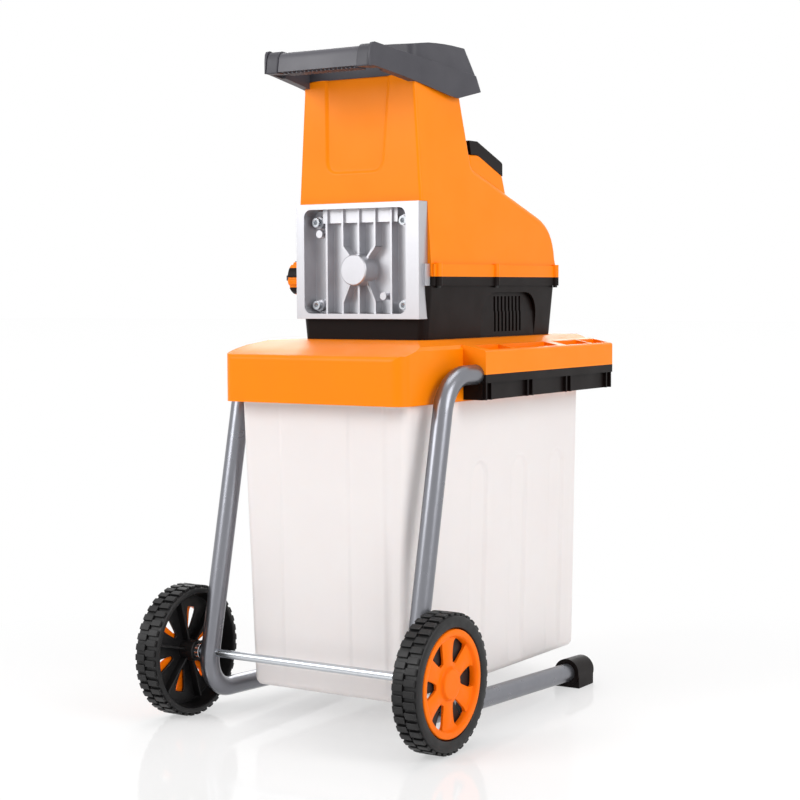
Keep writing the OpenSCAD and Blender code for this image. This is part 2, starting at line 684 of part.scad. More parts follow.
// Room for the cast plate and its plug in the front walls
module plate_room() {
  block([-lug_half - gap, lug_half + gap], [lug_front - gap, plate_front + plate_depth + gap],
    [split_z - lower_flange_h - gap, split_z + upper_flange_h + gap]);
  block([-plate_half_w - gap, plate_half_w + gap], [plate_front - 10, plate_front + plate_depth + gap],
    [plate_z - gap, plate_z + plate_h + gap]);
  block([-plug_half_w - gap, plug_half_w + gap], [plate_front, plug_back + 1],
    [plate_z + 8 - gap, plate_z + plate_h - 8 + gap]);
}
module flange_holes() {
  for (p = flange_screw_at) translate([p[0], p[1], split_z - 30]) cylinder(d = flange_screw_d + 2 * seat_fit, h = 44);
}
saddle_y = [[130, 138], [196, 204]];
casing_r = stator_r + 3;
inlet_at = [58, 588];
module lower_housing() {
  color(black) difference() {
    union() {
      difference() {
        union() {
          loft([house_ring(deck_z, 0), house_ring(split_z - lower_flange_h, 0)]);
          flange_plan(split_z - lower_flange_h, lower_flange_h);
        }
        loft([house_ring(deck_z + 4, house_wall), house_ring(split_z + 1, house_wall)]);
      }
      both_sides() block([house_half_w - 8, house_half_w - 1], [vent_y[0] - 4, vent_y[1] + 4],
        [deck_z + 3, split_z - lower_flange_h - 2]);
      for (y = saddle_y) block([roller_x - 48, roller_x + 48], y, [deck_z + 3, roller_z - 34]);
      block([roller_x - 48, roller_x + 48], [gear_front + 16, gear_back - 4], [deck_z + 3, gearbox_z[0]]);
      rod_y(inlet_at, house_rear - 5, house_rear + 16, 44);
    }
    plate_room();
    flange_holes();
    for (y = [0:1]) rod_y([roller_x, roller_z], saddle_y[y][0] - 1, saddle_y[y][1] + 1,
      2 * casing_r + 2 * seat_fit);
    both_sides() side_plane(house_half_w) linear_extrude(30) polygon(concat(
      [[vent_y[0], deck_z - 1], [vent_y[1], deck_z - 1]],
      arc([vent_y[1] - 36, split_z - lower_flange_h - 46], 36, 0, 90, 6),
      arc([vent_y[0] + 36, split_z - lower_flange_h - 46], 36, 90, 180, 6)));
    both_sides() for (i = [0:slot_count - 1])
      block([house_half_w - 12, house_half_w + 10],
        [(vent_y[0] + vent_y[1]) / 2 + (i - (slot_count - 1) / 2) * slot_step - slot_w / 2,
         (vent_y[0] + vent_y[1]) / 2 + (i - (slot_count - 1) / 2) * slot_step + slot_w / 2],
        [deck_z + 8, split_z - lower_flange_h - 16]);
    block(chute_x, chute_y, [deck_z - 1, deck_z + 10]);
    for (p = base_screw_at) translate([p[0], p[1], deck_z - 1]) cylinder(d = 6 + 2 * seat_fit, h = 8);
    rod_x([knob_y, split_z], -flange_half - 20, -house_half_w + 10, 2 * collar_r + 2 * seat_fit);
    rod_y(inlet_at, house_rear + 2, house_rear + 20, 36);
    for (k = [-1, 1]) rod_y([inlet_at[0] + 9 * k, inlet_at[1]], house_rear - 10, house_rear + 4, 5);
  }
}
module base_screws() {
  color(zinc) for (p = base_screw_at) translate([p[0], p[1], deck_z - 9]) {
    cylinder(d = 6, h = 14);
    translate([0, 0, 13]) cylinder(d = 11, h = 4);
  }
}
module flange_screws() {
  color(zinc) for (p = flange_screw_at) translate([p[0], p[1], split_z - lower_flange_h - 3]) {
    cylinder(d = flange_screw_d, h = lower_flange_h + 12);
    cylinder(d = 1.65 * flange_screw_d, h = 3);
  }
}

// Upper housing

function neck_at(z) = neck_half_w + (neck_foot_half_w - neck_half_w) * (neck_z - z) / (neck_z - split_z);
function neck_back(z) = neck_rear + neck_fall * (neck_z - z);
function neck_ring(z, inset) = at_height(round_plan(neck_at(z) - inset, neck_at(z) - inset,
  neck_front + inset, neck_back(z) - inset, 16 - inset), z);
module neck_form(inset, low, high) loft([neck_ring(low, inset), neck_ring(high, inset)]);
hump_rear = house_rear + house_draft / 3;
hump_start = neck_back(hump_front_z) - 30;
hump_end_z = split_z + upper_flange_h + 4;
// Height of the hump along Y: a straight fall, then a quarter of an ellipse
function hump_top(y) = y <= hump_round_y
  ? hump_front_z + (hump_rear_z - hump_front_z) * (y - hump_start) / (hump_round_y - hump_start)
  : hump_end_z + (hump_rear_z - hump_end_z) * sqrt(max(0, 1 - pow((y - hump_round_y) / (hump_rear - hump_round_y), 2)));
hump_edge_r = 12;
function hump_ring(y, inset, low) =
  let (top = hump_top(y) - inset,
    foot = neck_foot_half_w - 2 - inset,
    head = foot - hump_draft * (top - split_z) / (hump_front_z - split_z),
    r = min(hump_edge_r, (top - low) / 2))
  [for (p = concat([[foot, low], [-foot, low]], arc([r - head, top - r], r, 180, 90, 5),
    arc([head - r, top - r], r, 90, 0, 5))) [p[0], y, p[1]]];
module hump_form(inset, low) {
  rear_steps = 6;
  last = hump_rear - inset;
  loft(concat([hump_ring(hump_start + inset, inset, low)],
    [for (i = [0:rear_steps]) hump_ring(hump_round_y + (last - hump_round_y) * sin(90 * i / rear_steps),
      inset, low)]));
}
panel_angle = atan(panel_drop / (panel_rear - panel_bend));
function panel_line(drop) = [[panel_rear, panel_z - panel_drop - drop], [panel_bend, panel_z - drop]];
module control_form(inset) {
  half = panel_half_w - inset;
  side_plane(-half) linear_extrude(2 * half) polygon(concat(
    [[neck_rear, 745], [panel_rear - inset, 745], [panel_rear - inset, panel_line(panel_h)[0][1] + inset]],
    [[panel_bend, panel_z - panel_h + inset], [neck_rear, panel_z - panel_h + inset]]));
}
u_half = 51;
u_low = 788;
module upper_housing() {
  color(orange) difference() {
    union() {
      neck_form(0, split_z, neck_z);
      hump_form(0, split_z);
      control_form(0);
      flange_plan(split_z, upper_flange_h);
    }
    neck_form(house_wall, split_z - 1, neck_z + 1);
    hump_form(house_wall, split_z - 1);
    control_form(house_wall);
    plate_room();
    flange_holes();
    rod_x([knob_y, split_z], -flange_half - 20, -house_half_w + 10, 2 * collar_r + 2 * seat_fit);
    front_plane(neck_front + 1.5) linear_extrude(10) polygon(concat(
      [[u_half, neck_z + 1], [-u_half, neck_z + 1]],
      arc([14 - u_half + 3, u_low + 14], 14, 180, 270, 5), arc([u_half - 3 - 14, u_low + 14], 14, 270,
        360, 5)));
  }
}

// Hopper

rim_plan_inset = hood_wall + 2.5;
chute_top = [neck_half_w - 12, neck_front + 12, neck_rear - 6];
chute_low_z = roller_z + roller_r + 6;
function funnel_ring(share, inset) = at_height([for (p = round_plan(
  chute_top[0] * share + 52 * (1 - share) - inset, chute_top[0] * share + 52 * (1 - share) - inset,
  chute_top[1] * share + (plug_back + 6) * (1 - share) + inset,
  chute_top[2] * share + (gear_front - 2) * (1 - share) - inset, 10 - inset))
  [p[0] + roller_x * (1 - share), p[1]]], chute_low_z + (neck_z - chute_low_z) * share);
module feed_chute() {
  color(black) difference() {
    union() {
      loft([funnel_ring(0, 0), funnel_ring(1, 0)]);
      translate([0, 0, neck_z]) linear_extrude(3) polygon(hood_plan(neck_z + 3, rim_plan_inset));
    }
    loft([funnel_ring(-0.02, 3), funnel_ring(1.03, 3)]);
  }
}
hood_low = neck_z - 24;
function hood_share(z) = (hood_z - z) / (hood_z - hood_low);
function hood_plan(z, inset) = round_plan(
  neck_half_w - 1 + 4 * hood_share(z) - inset, neck_half_w + 2 + (hood_tip_half_w - neck_half_w - 2) * hood_share(z) - inset,
  neck_front + inset, hood_tip_y - 16 + 18 * hood_share(z) - inset, 14 - inset);
handle_back = handle_front + handle_depth;
arm_front = [grip_half + 9, grip_half + grip_cap_len + 3, handle_z - 4, handle_z + handle_h];
arm_rear = [neck_half_w - 11, neck_half_w + 3, neck_z - 6, neck_z + 30];
function arm_ring(y, a) = [[a[1], y, a[2]], [a[0], y, a[2]], [a[0], y, a[3]], [a[1], y, a[3]]];
module hopper_hood() {
  color(dark_grey) difference() {
    union() {
      difference() {
        loft([at_height(hood_plan(hood_low, 0), hood_low), at_height(hood_plan(hood_z, 0), hood_z)]);
        loft([at_height(hood_plan(hood_low - 2, hood_wall), hood_low - 2),
          at_height(hood_plan(hood_z + 2, hood_wall), hood_z + 2)]);
        side_plane(-200) linear_extrude(400) polygon([[neck_front - 5, neck_z - 6], [0, hood_low + 3],
          [hood_tip_y + 1, neck_z - 8], [hood_tip_y + 40, hood_low - 20], [neck_front - 5, hood_low - 20]]);
      }
      both_sides() loft([arm_ring(handle_back + gap, arm_front), arm_ring(neck_front + hood_wall - 1,
        arm_rear)]);
    }
    neck_form(-gap, split_z, neck_z + gap);
  }
}
module handle_bar() {
  color(dark_grey) difference() {
    side_plane(-grip_half) linear_extrude(2 * grip_half) polygon(concat(
      arc([handle_front + 8, handle_z + 8], 8, 180, 270, 4), [[handle_back - 10, handle_z]],
      arc([handle_back - 8, handle_z + handle_h - 12], 8, 0, 90, 4),
      arc([handle_front + 12, handle_z + handle_h - 12], 12, 90, 180, 4)));
    for (i = [-6:6]) block([i * 9.5 - 3, i * 9.5 + 3], [handle_front + 12, handle_back + 1],
      [handle_z - 1, handle_z + 5]);
  }
}
module handle_caps() {
  color(dark_grey) both_sides() side_plane(grip_half) linear_extrude(grip_cap_len) polygon(concat(
    arc([handle_front + 7, handle_z + 5], 8, 180, 270, 4), arc([handle_back - 8, handle_z + 5], 8, 270,
      360, 4),
    arc([handle_back - 8, handle_z + handle_h - 5], 8, 0, 90, 4),
    arc([handle_front + 11, handle_z + handle_h - 9], 12, 90, 180, 4)));
}

// Cast plate

roller_at = [roller_x, roller_z];
plate_mid_z = roller_z + 8.5;
screw_at = [for (x = [-1, 1], z = [-1, 1]) [roller_x + x * screw_half_x, plate_mid_z + z * screw_half_z]];
pocket_floor = plate_front + pocket_depth;
rib_front = pocket_floor - rib_h;
bearing_front = plate_front + 10;
module pocket_plan(margin) {
  polygon([for (p = round_plan(pocket_half_w - margin, pocket_half_w - margin, plate_z + 7.5 + margin,
    plate_z + plate_h - 7.5 - margin, 11)) [p[0] + roller_x + 1, p[1]]]);
}
rib_bend_z = [34, 46];
// One cooling rib: straight at the outside, drawn in to the boss at the inside
function rib_line(k, up) = let (x = roller_x + k * rib_step, far = up > 0 ? plate_z + plate_h - 6 : plate_z + 6)
  k % 2 == 0 ? [[x, roller_z], [x, far]]
  : [[roller_x + k * boss_r * 0.6, roller_z + up * 8], [roller_x + k * 16, roller_z + up * 20],
     [x, roller_z + up * rib_bend_z[up > 0 ? 0 : 1] ], [x, far]];
module rib_wall(a, b) {
  translate([a[0], a[1]]) rotate([0, 0, atan2(b[1] - a[1], b[0] - a[0])]) translate([0,
    -1.75]) square([norm(b - a), 3.5]);
}
module front_plate() {
  color(silver) difference() {
    union() {
      difference() {
        union() {
          block([-plate_half_w, plate_half_w], [plate_front, plate_front + plate_depth], [plate_z,
            plate_z + plate_h]);
          block([-plug_half_w, plug_half_w], [plate_front + plate_depth - 1, plug_back],
            [plate_z + 8, plate_z + plate_h - 8]);
          both_sides() block([plate_half_w - 1, lug_half], [lug_front, plate_front + plate_depth],
            [split_z - lower_flange_h, split_z + upper_flange_h]);
        }
        front_plane(pocket_floor) linear_extrude(pocket_depth + 1) pocket_plan(0);
      }
      intersection() {
        front_plane(pocket_floor + 1) linear_extrude(rib_h + 1) for (k = [-2:2], up = [-1, 1])
          let (line = rib_line(k, up)) for (i = [0:len(line) - 2]) rib_wall(line[i], line[i + 1]);
        front_plane(pocket_floor + 2) linear_extrude(pocket_depth + 4) pocket_plan(-1);
      }
      block([roller_x - 2 * rib_step - 9, roller_x + 2 * rib_step + 9], [rib_front + 4, pocket_floor + 1],
        [plate_z + plate_h - 26, plate_z + plate_h - 6]);
      rod_y(roller_at, plate_front + 2, pocket_floor + 1, 2 * boss_r);
      for (p = screw_at) rod_y(p, pocket_floor - 9, pocket_floor + 1, 17);
      rod_y([roller_x - 67, plate_mid_z + 43], rib_front - 3, pocket_floor + 1, 11);
      rod_y([roller_x + 44, plate_mid_z - 46], rib_front - 3, pocket_floor + 1, 11);
    }
    for (p = screw_at) rod_y(p, pocket_floor - 12, plug_back + 1, plate_screw_d + 2 * seat_fit);
    rod_y(roller_at, bearing_front, plug_back + 1, bearing_d + 2 * seat_fit);
  }
}
post_d = 15;
module chamber_posts() {
  color(zinc) for (p = screw_at) difference() {
    rod_y(p, plug_back, gear_front, post_d);
    rod_y(p, plug_back - 1, plug_back + 22, plate_screw_d + 2 * seat_fit);
  }
}
module plate_screws() {
  color(zinc) for (p = screw_at) difference() {
    union() {
      rod_y(p, pocket_floor - 9, plug_back + 20, plate_screw_d);
      rod_y(p, pocket_floor - 9 - plate_screw_d, pocket_floor - 9, 1.6 * plate_screw_d);
    }
    translate([p[0], pocket_floor - 12, p[1]]) rotate([90, 0, 0]) cylinder(d = 0.9 * plate_screw_d,
      h = 10, $fn = 6);
  }
}

// Cutter

roller_front = plug_back + 4;
roller_back = roller_front + roller_len;
gear_front = roller_back + 4;
module front_bearing() color(zinc) ring_y(roller_at, bearing_front, bearing_front + bearing_w, bearing_d,
  shaft_d + 2 * run_fit);
module rear_bearing() color(zinc) ring_y(roller_at, gear_front, gear_front + bearing_w, bearing_d,
  shaft_d + 2 * run_fit);
blade_h = 8;
// Saw-toothed cross-section of the roller
roller_outline = [for (i = [0:blade_count - 1], k = [0:2])
  let (a = 360 / blade_count * (i + [0, 0, 0.3][k])) (roller_r - [blade_h, 0,
    blade_h * 0.4][k]) * [cos(a), sin(a)]];
module cutting_roller() {
  color(zinc) difference() {
    translate([roller_x, roller_back, roller_z]) rotate([90, 0,
      0]) linear_extrude(roller_len) polygon(roller_outline);
    rod_y(roller_at, roller_front - 1, roller_back + 1, shaft_d);
    for (i = [1:4]) ring_y(roller_at, roller_front + roller_len * i / 5 - 2,
      roller_front + roller_len * i / 5 + 2,
      2 * roller_r + 2, 2 * (roller_r - blade_h * 0.7));
  }
}
module roller_shaft() color(zinc) rod_y(roller_at, bearing_front + gap, gear_mid - 4, shaft_d);
counter_x = [roller_x - roller_r - cutting_gap - 30, roller_x - roller_r - cutting_gap + 4];
counter_z = [roller_z - 34, roller_z + 30];
counter_y = [roller_front + 1, roller_back - 1];
adjuster_at = [knob_y, split_z];
module counter_plate() {
  color(zinc) difference() {
    block(counter_x, counter_y, counter_z);
    rod_y(roller_at, roller_front - 1, roller_back + 1, 2 * (roller_r + cutting_gap));
    rod_x(adjuster_at, counter_x[0] - 1, counter_x[1] - 12, adjuster_d + 2 * run_fit);
  }
}
module counter_guides() {
  color(zinc) for (z = [counter_z[0] - gap - 5, counter_z[1] + gap])
    block([counter_x[0] - 20, counter_x[1] - 8], [plug_back, gear_front], [z, z + 5]);
}
collar_r = 16;
collar_x = [-flange_half - 6, -house_half_w + 8];
knob_x = [collar_x[0] - gap - knob_len, collar_x[0] - gap];
module knob_collar() {
  color(black) difference() {
    rod_x(adjuster_at, collar_x[0], collar_x[1], 2 * collar_r);
    rod_x(adjuster_at, collar_x[0] - 1, collar_x[1] + 1, adjuster_d + 2 * run_fit);
  }
}
module adjusting_screw() color(zinc) rod_x(adjuster_at, knob_x[0] + 5, counter_x[1] - 18, adjuster_d);
grip_bar_h = 8;
module adjusting_knob() {
  color(orange) difference() {
    rod_x(adjuster_at, knob_x[0], knob_x[1], 2 * knob_r);
    rod_x(adjuster_at, knob_x[0] + 5, knob_x[1] + 1, adjuster_d);
    for (i = [0:11]) rotate_knob(30 * i) translate([-0.5 * knob_len - 50, knob_r + 2.2, 0]) rotate([0,
      90, 0])
      cylinder(r = 4, h = knob_len + 100);
  }
}
module rotate_knob(a) translate([knob_x[0], knob_y, split_z]) rotate([a, 0, 0]) children();
module knob_grip() color(dark_grey) block([knob_x[0] - 5, knob_x[0]], [knob_y - knob_r + 4,
  knob_y + knob_r - 4],
  [split_z - grip_bar_h / 2, split_z + grip_bar_h / 2]);

// Drive

gear_mid = gear_front + 38;
gear_back = gear_front + 74;
layshaft_at = [roller_x, roller_z + gear_centre];
first_module = 2 * gear_centre / (layshaft_teeth + pinion_teeth);
second_module = 2 * gear_centre / (roller_teeth + pinion_teeth);
gearbox_x = [roller_x - 56, roller_x + 56];
gearbox_z = [roller_z - 54, roller_z + gear_centre + 56];
case_wall = 5;
pressure = 25;
backlash = 0.25;
// One flank of an involute tooth, from base to tip, as [radius, half angle of the tooth]
function involute(a) = tan(a) * 180 / PI - a;
function flank(m, teeth, n) =
  let (pitch_r = m * teeth / 2, base_r = pitch_r * cos(pressure), tip_r = pitch_r + 0.8 * m,
    low_r = max(base_r, pitch_r - 0.8 * m),
    half = 90 / teeth - backlash / 2 / pitch_r * 180 / PI)
  [for (i = [0:n]) let (r = low_r + (tip_r - low_r) * i / n)
    [r, half + involute(pressure) - involute(acos(min(1, base_r / r)))]];
function gear_outline(m, teeth, n) =
  let (side = flank(m, teeth, n), root_r = m * teeth / 2 - 1.1 * m)
  [for (t = [0:teeth - 1], k = [0:2 * n + 3])
    let (mid = 360 / teeth * t,
      p = k == 0 ? [root_r, -side[0][1]] : k <= n + 1 ? [side[k - 1][0], -side[k - 1][1]]
        : k <= 2 * n + 2 ? [side[2 * n + 2 - k][0], side[2 * n + 2 - k][1]] : [root_r, side[0][1]])
    p[0] * [cos(mid + p[1] + 90), sin(mid + p[1] + 90)]];
// Gear along Y on an axis given as [x, z], one tooth pointing up before it is turned
module gear_y(at, from, to, m, teeth, n, turn) {
  translate([at[0], to, at[1]]) rotate([90, 0, 0]) rotate([0, 0, turn]) linear_extrude(to - from)
    polygon(gear_outline(m, teeth, n));
}
second_stage = [gear_front + 15, gear_front + 33];
first_stage = [gear_front + 42, gear_front + 54];
module roller_gear() {
  color(zinc) difference() {
    gear_y(roller_at, second_stage[0], second_stage[1], second_module, roller_teeth, 3, 0);
    rod_y(roller_at, second_stage[0] - 1, second_stage[1] + 1, shaft_d);
  }
}
module layshaft() {
  color(zinc) union() {
    rod_y(layshaft_at, gear_front + 3, gear_back - 1, layshaft_d);
    gear_y(layshaft_at, second_stage[0] - 1, second_stage[1] + 2, second_module, pinion_teeth, 4,
      180 + 180 / pinion_teeth);
  }
}
module layshaft_gear() {
  color(zinc) difference() {
    gear_y(layshaft_at, first_stage[0], first_stage[1], first_module, layshaft_teeth, 3, 180);
    rod_y(layshaft_at, first_stage[0] - 1, first_stage[1] + 1, layshaft_d);
  }
}
bush_w = 8;
module layshaft_bushes() {
  color("#b08d57") for (y = [gear_front + 3, gear_back - 1 - bush_w])
    ring_y(layshaft_at, y, y + bush_w, layshaft_d + 8, layshaft_d + 2 * run_fit);
}
cover_plate_h = 12;
module gearbox_cover() {
  color(silver) difference() {
    block([roller_x - screw_half_x - 11, roller_x + screw_half_x + 11], [gear_front,
      gear_front + cover_plate_h],
      [plate_mid_z - screw_half_z - 10, gearbox_z[1]]);
    rod_y(roller_at, gear_front - 1, gear_front + bearing_w, bearing_d + 2 * seat_fit);
    rod_y(roller_at, gear_front - 1, gear_front + cover_plate_h + 1, shaft_d + 6);
    rod_y(layshaft_at, gear_front + 3, gear_front + cover_plate_h + 1, layshaft_d + 8 + 2 * seat_fit);
  }
}
module gearbox_case() {
  color(silver) difference() {
    block(gearbox_x, [gear_front + cover_plate_h, gear_back], gearbox_z);
    block([gearbox_x[0] + case_wall, gearbox_x[1] - case_wall], [gear_front + cover_plate_h - 1,
      gear_back - 12],
      [gearbox_z[0] + case_wall, gearbox_z[1] - case_wall]);
    rod_y(layshaft_at, gear_back - 13, gear_back - 1, layshaft_d + 8 + 2 * seat_fit);
    rod_y(roller_at, gear_back - bearing_w, gear_back + 1, bearing_d + 2 * seat_fit);
    rod_y(roller_at, gear_back - 13, gear_back, shaft_d + 6);
  }
}
winding_len = 14;
stator_y = [gear_back + winding_len + 4, gear_back + winding_len + 4 + stator_len];
casing_end = stator_y[1] + winding_len + 6;
shield_h = 10;
module motor_casing() color(silver) ring_y(roller_at, gear_back, casing_end, 2 * casing_r,
  2 * stator_r + 2 * seat_fit);
module stator() color(zinc) ring_y(roller_at, stator_y[0], stator_y[1], 2 * stator_r, 2 * rotor_r + 1.2);
module stator_windings() {
  color("#b5652a") for (y = [stator_y[0] - winding_len, stator_y[1]])
    translate([roller_x, y + winding_len, roller_z]) rotate([90, 0, 0]) rotate_extrude()
      translate([rotor_r + 3, 0]) square([stator_r - rotor_r - 8, winding_len]);
}
module rotor() color(zinc) ring_y(roller_at, stator_y[0], stator_y[1], 2 * rotor_r, shaft_d);
fan_y = [casing_end + shield_h + 5, casing_end + shield_h + 23];
module motor_shaft() {
  color(zinc) union() {
    rod_y(roller_at, first_stage[1] + 3, fan_y[1] + 1, shaft_d);
    gear_y(roller_at, first_stage[0] - 3, first_stage[1] + 3, first_module, pinion_teeth, 4,
      180 / pinion_teeth);
  }
}
module motor_bearings() {
  color(zinc) for (y = [gear_back - bearing_w, casing_end])
    ring_y(roller_at, y, y + bearing_w, bearing_d, shaft_d + 2 * run_fit);
}
module motor_end_shield() {
  color(silver) difference() {
    rod_y(roller_at, casing_end, casing_end + shield_h, 2 * casing_r);
    rod_y(roller_at, casing_end - 1, casing_end + bearing_w, bearing_d + 2 * seat_fit);
    rod_y(roller_at, casing_end - 1, casing_end + shield_h + 1, shaft_d + 6);
  }
}
fan_blades = 9;
module cooling_fan() {
  color(black) difference() {
    union() {
      rod_y(roller_at, fan_y[0], fan_y[1], shaft_d + 14);
      rod_y(roller_at, fan_y[0], fan_y[0] + 2.5, 2 * fan_r);
      for (i = [0:fan_blades - 1]) translate([roller_x, 0, roller_z]) rotate([0, 360 / fan_blades * i, 0])
        block([shaft_d / 2 + 5, fan_r], [fan_y[0] + 1, fan_y[1]], [-1.2, 1.2]);
    }
    rod_y(roller_at, fan_y[0] - 1, fan_y[1] + 1, shaft_d);
  }
}
capacitor_r = 18;
module run_capacitor() color(silver) rod_y([house_half_w - 28, deck_z + 4 + capacitor_r], 150, 236,
  2 * capacitor_r);

// Controls

// Frame of the sloped panel: x across, y down the slope, z out of the panel
module on_panel(x, along) {
  translate([x, panel_bend, panel_z]) rotate([-panel_angle, 0, 0]) translate([0, along, 0]) children();
}
panel_mid = (panel_rear - panel_bend) / cos(panel_angle) / 2;
on_x = -62;
off_x = -26;
selector_x = 22;
reset_x = 66;
reset_d = 14;
stem_d = 8;
panel_skin = 3;
module control_panel() {
  color(black) difference() {
    side_plane(-panel_half_w) linear_extrude(2 * panel_half_w) polygon(concat(
      [[neck_back(panel_z) + gap, panel_z], [neck_back(panel_z - panel_h) + gap, panel_z - panel_h]],
      [[panel_bend, panel_z - panel_h]], [panel_line(panel_h)[0]],
      arc([panel_rear - 5, panel_z - panel_drop - 4], 5, 0, 70, 4), [[panel_bend, panel_z]]));
    side_plane(-panel_half_w + panel_skin) linear_extrude(2 * (panel_half_w - panel_skin)) polygon([
      [panel_bend - 4, panel_z - panel_h - 1], [panel_bend - 4, panel_z - panel_skin],
      [panel_bend, panel_z - panel_skin], panel_line(panel_skin)[0] + [-panel_skin, 1],
      [panel_rear - panel_skin, panel_line(panel_h)[0][1] - 1], [panel_bend, panel_z - panel_h - 1]]);
    for (x = [on_x, off_x]) on_panel(x, panel_mid) translate([0, 0,
      -10]) cylinder(d = button_d + 2 * gap, h = 20);
    on_panel(selector_x, panel_mid) translate([0, 0, -10]) cylinder(d = stem_d + 4 + 2 * run_fit, h = 20);
    on_panel(reset_x, panel_mid) translate([0, 0, -10]) cylinder(d = reset_d + 2 * gap, h = 20);
  }
}
switch_top = -9;
switch_h = 22;
module switch_block() {
  color(dark_grey) difference() {
    union() {
      on_panel(0, panel_mid) translate([-88, -18, switch_top - switch_h]) cube([176, 36, switch_h]);
      for (x = [-82, 0, 82]) on_panel(x, panel_mid) translate([-3, -12, switch_top - 1])
        cube([6, 24, -panel_skin - switch_top + 1]);
    }
    for (x = [on_x, off_x, selector_x, reset_x]) on_panel(x, panel_mid) translate([0, 0,
      switch_top - switch_h + 4])
      cylinder(d = stem_d + 2 * run_fit, h = switch_h);
  }
}
// Round push button with a crowned rim, a flange below the panel and a guide stem
module push_button(x, d, rise) {
  on_panel(x, panel_mid) {
    translate([0, 0, switch_top + button_travel + 1]) cylinder(d = d,
      h = rise - switch_top - button_travel - 1);
    translate([0, 0, switch_top - 8]) cylinder(d = stem_d, h = 8 + button_travel + 2);
  }
}
module on_button() color("#2f9e44") push_button(on_x, button_d, 4);
module off_button() color("#d22b2b") push_button(off_x, button_d, 4);
module reset_button() color(black) push_button(reset_x, reset_d, 5);
module direction_selector() {
  color(dark_grey) on_panel(selector_x, panel_mid) {
    translate([0, 0, gap]) cylinder(d = selector_d, h = 6);
    translate([-selector_d / 2 + 2, -4, gap + 5]) cube([selector_d - 4, 8, 10]);
    translate([0, 0, switch_top + gap]) cylinder(d = stem_d + 4, h = 2 * gap - switch_top);
    translate([0, 0, switch_top - 8]) cylinder(d = stem_d, h = 8 + 2 * gap);
  }
}

frame_tube_left();
frame_tube_right();
axle();
axle_spacers();
axle_lock_washers();
wheel_left();
wheel_right();
wheel_cover_left();
wheel_cover_right();
foot_left();
foot_right();
base_cover();
rail_left();
rail_right();
frame_bolts();
collection_box();
box_lock_slider();
interlock_switch();
lower_housing();
upper_housing();
flange_screws();
base_screws();
feed_chute();
hopper_hood();
handle_bar();
handle_caps();
front_plate();
plate_screws();
chamber_posts();
front_bearing();
cutting_roller();
roller_shaft();
rear_bearing();
roller_gear();
counter_plate();
counter_guides();
adjusting_screw();
adjusting_knob();
knob_grip();
knob_collar();
gearbox_cover();
gearbox_case();
layshaft();
layshaft_gear();
layshaft_bushes();
motor_casing();
stator();
stator_windings();
rotor();
motor_shaft();
motor_bearings();
motor_end_shield();
cooling_fan();
run_capacitor();
control_panel();
switch_block();
on_button();
off_button();
direction_selector();
reset_button();
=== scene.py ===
import json
import math
import bmesh
import bpy
from mathutils import Matrix, Vector


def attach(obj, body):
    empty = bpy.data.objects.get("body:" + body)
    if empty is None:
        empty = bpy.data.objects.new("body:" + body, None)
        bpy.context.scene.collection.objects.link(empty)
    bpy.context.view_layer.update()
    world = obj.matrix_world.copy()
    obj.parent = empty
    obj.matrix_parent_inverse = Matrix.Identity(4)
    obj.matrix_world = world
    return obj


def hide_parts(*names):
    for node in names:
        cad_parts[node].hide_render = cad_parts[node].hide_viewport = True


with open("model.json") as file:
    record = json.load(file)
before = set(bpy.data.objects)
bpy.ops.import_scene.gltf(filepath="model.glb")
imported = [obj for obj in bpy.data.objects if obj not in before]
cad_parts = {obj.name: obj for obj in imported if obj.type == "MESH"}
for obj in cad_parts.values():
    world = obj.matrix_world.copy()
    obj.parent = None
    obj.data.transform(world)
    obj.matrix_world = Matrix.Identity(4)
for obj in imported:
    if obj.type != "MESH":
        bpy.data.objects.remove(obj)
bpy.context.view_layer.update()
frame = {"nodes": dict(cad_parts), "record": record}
mm = 0.001
scene = bpy.context.scene
record = frame["record"]
bodyOf = {node: body for body, nodes in record["behaviour"]["bodies"].items() for node in nodes}
slotOf = {part["node"]: part["material_slot"] for part in record["subparts"]}
replaced = set()  # nodes that a new piece stands for


# Materials

# Shader sockets that hold one value all over, with the finish's own word for each
plainSockets = {"Metallic": "metallic", "IOR": "ior", "Specular IOR Level": "specular",
    "Subsurface Weight": "subsurface", "Subsurface Radius": "subsurfaceRadius",
    "Subsurface Scale": "subsurfaceScale"}
grainRise = 0.3  # height of the grain as a share of its width
glossSpan = (0.3, 0.7)  # stretch of the noise over which the roughness drifts


def linear(code):
    channels = [int(code[i:i + 2], 16) / 255 for i in (1, 3, 5)]
    return tuple(c / 12.92 if c <= 0.04045 else ((c + 0.055) / 1.055) ** 2.4 for c in channels) + (1.0,)


def addNode(tree, kind, links=None, **settings):
    node = tree.nodes.new(kind)
    for key, value in settings.items():
        if key in node.inputs:
            node.inputs[key].default_value = value
        else:
            setattr(node, key, value)
    for socket, source in (links or {}).items():
        tree.links.new(source, node.inputs[socket])
    return node


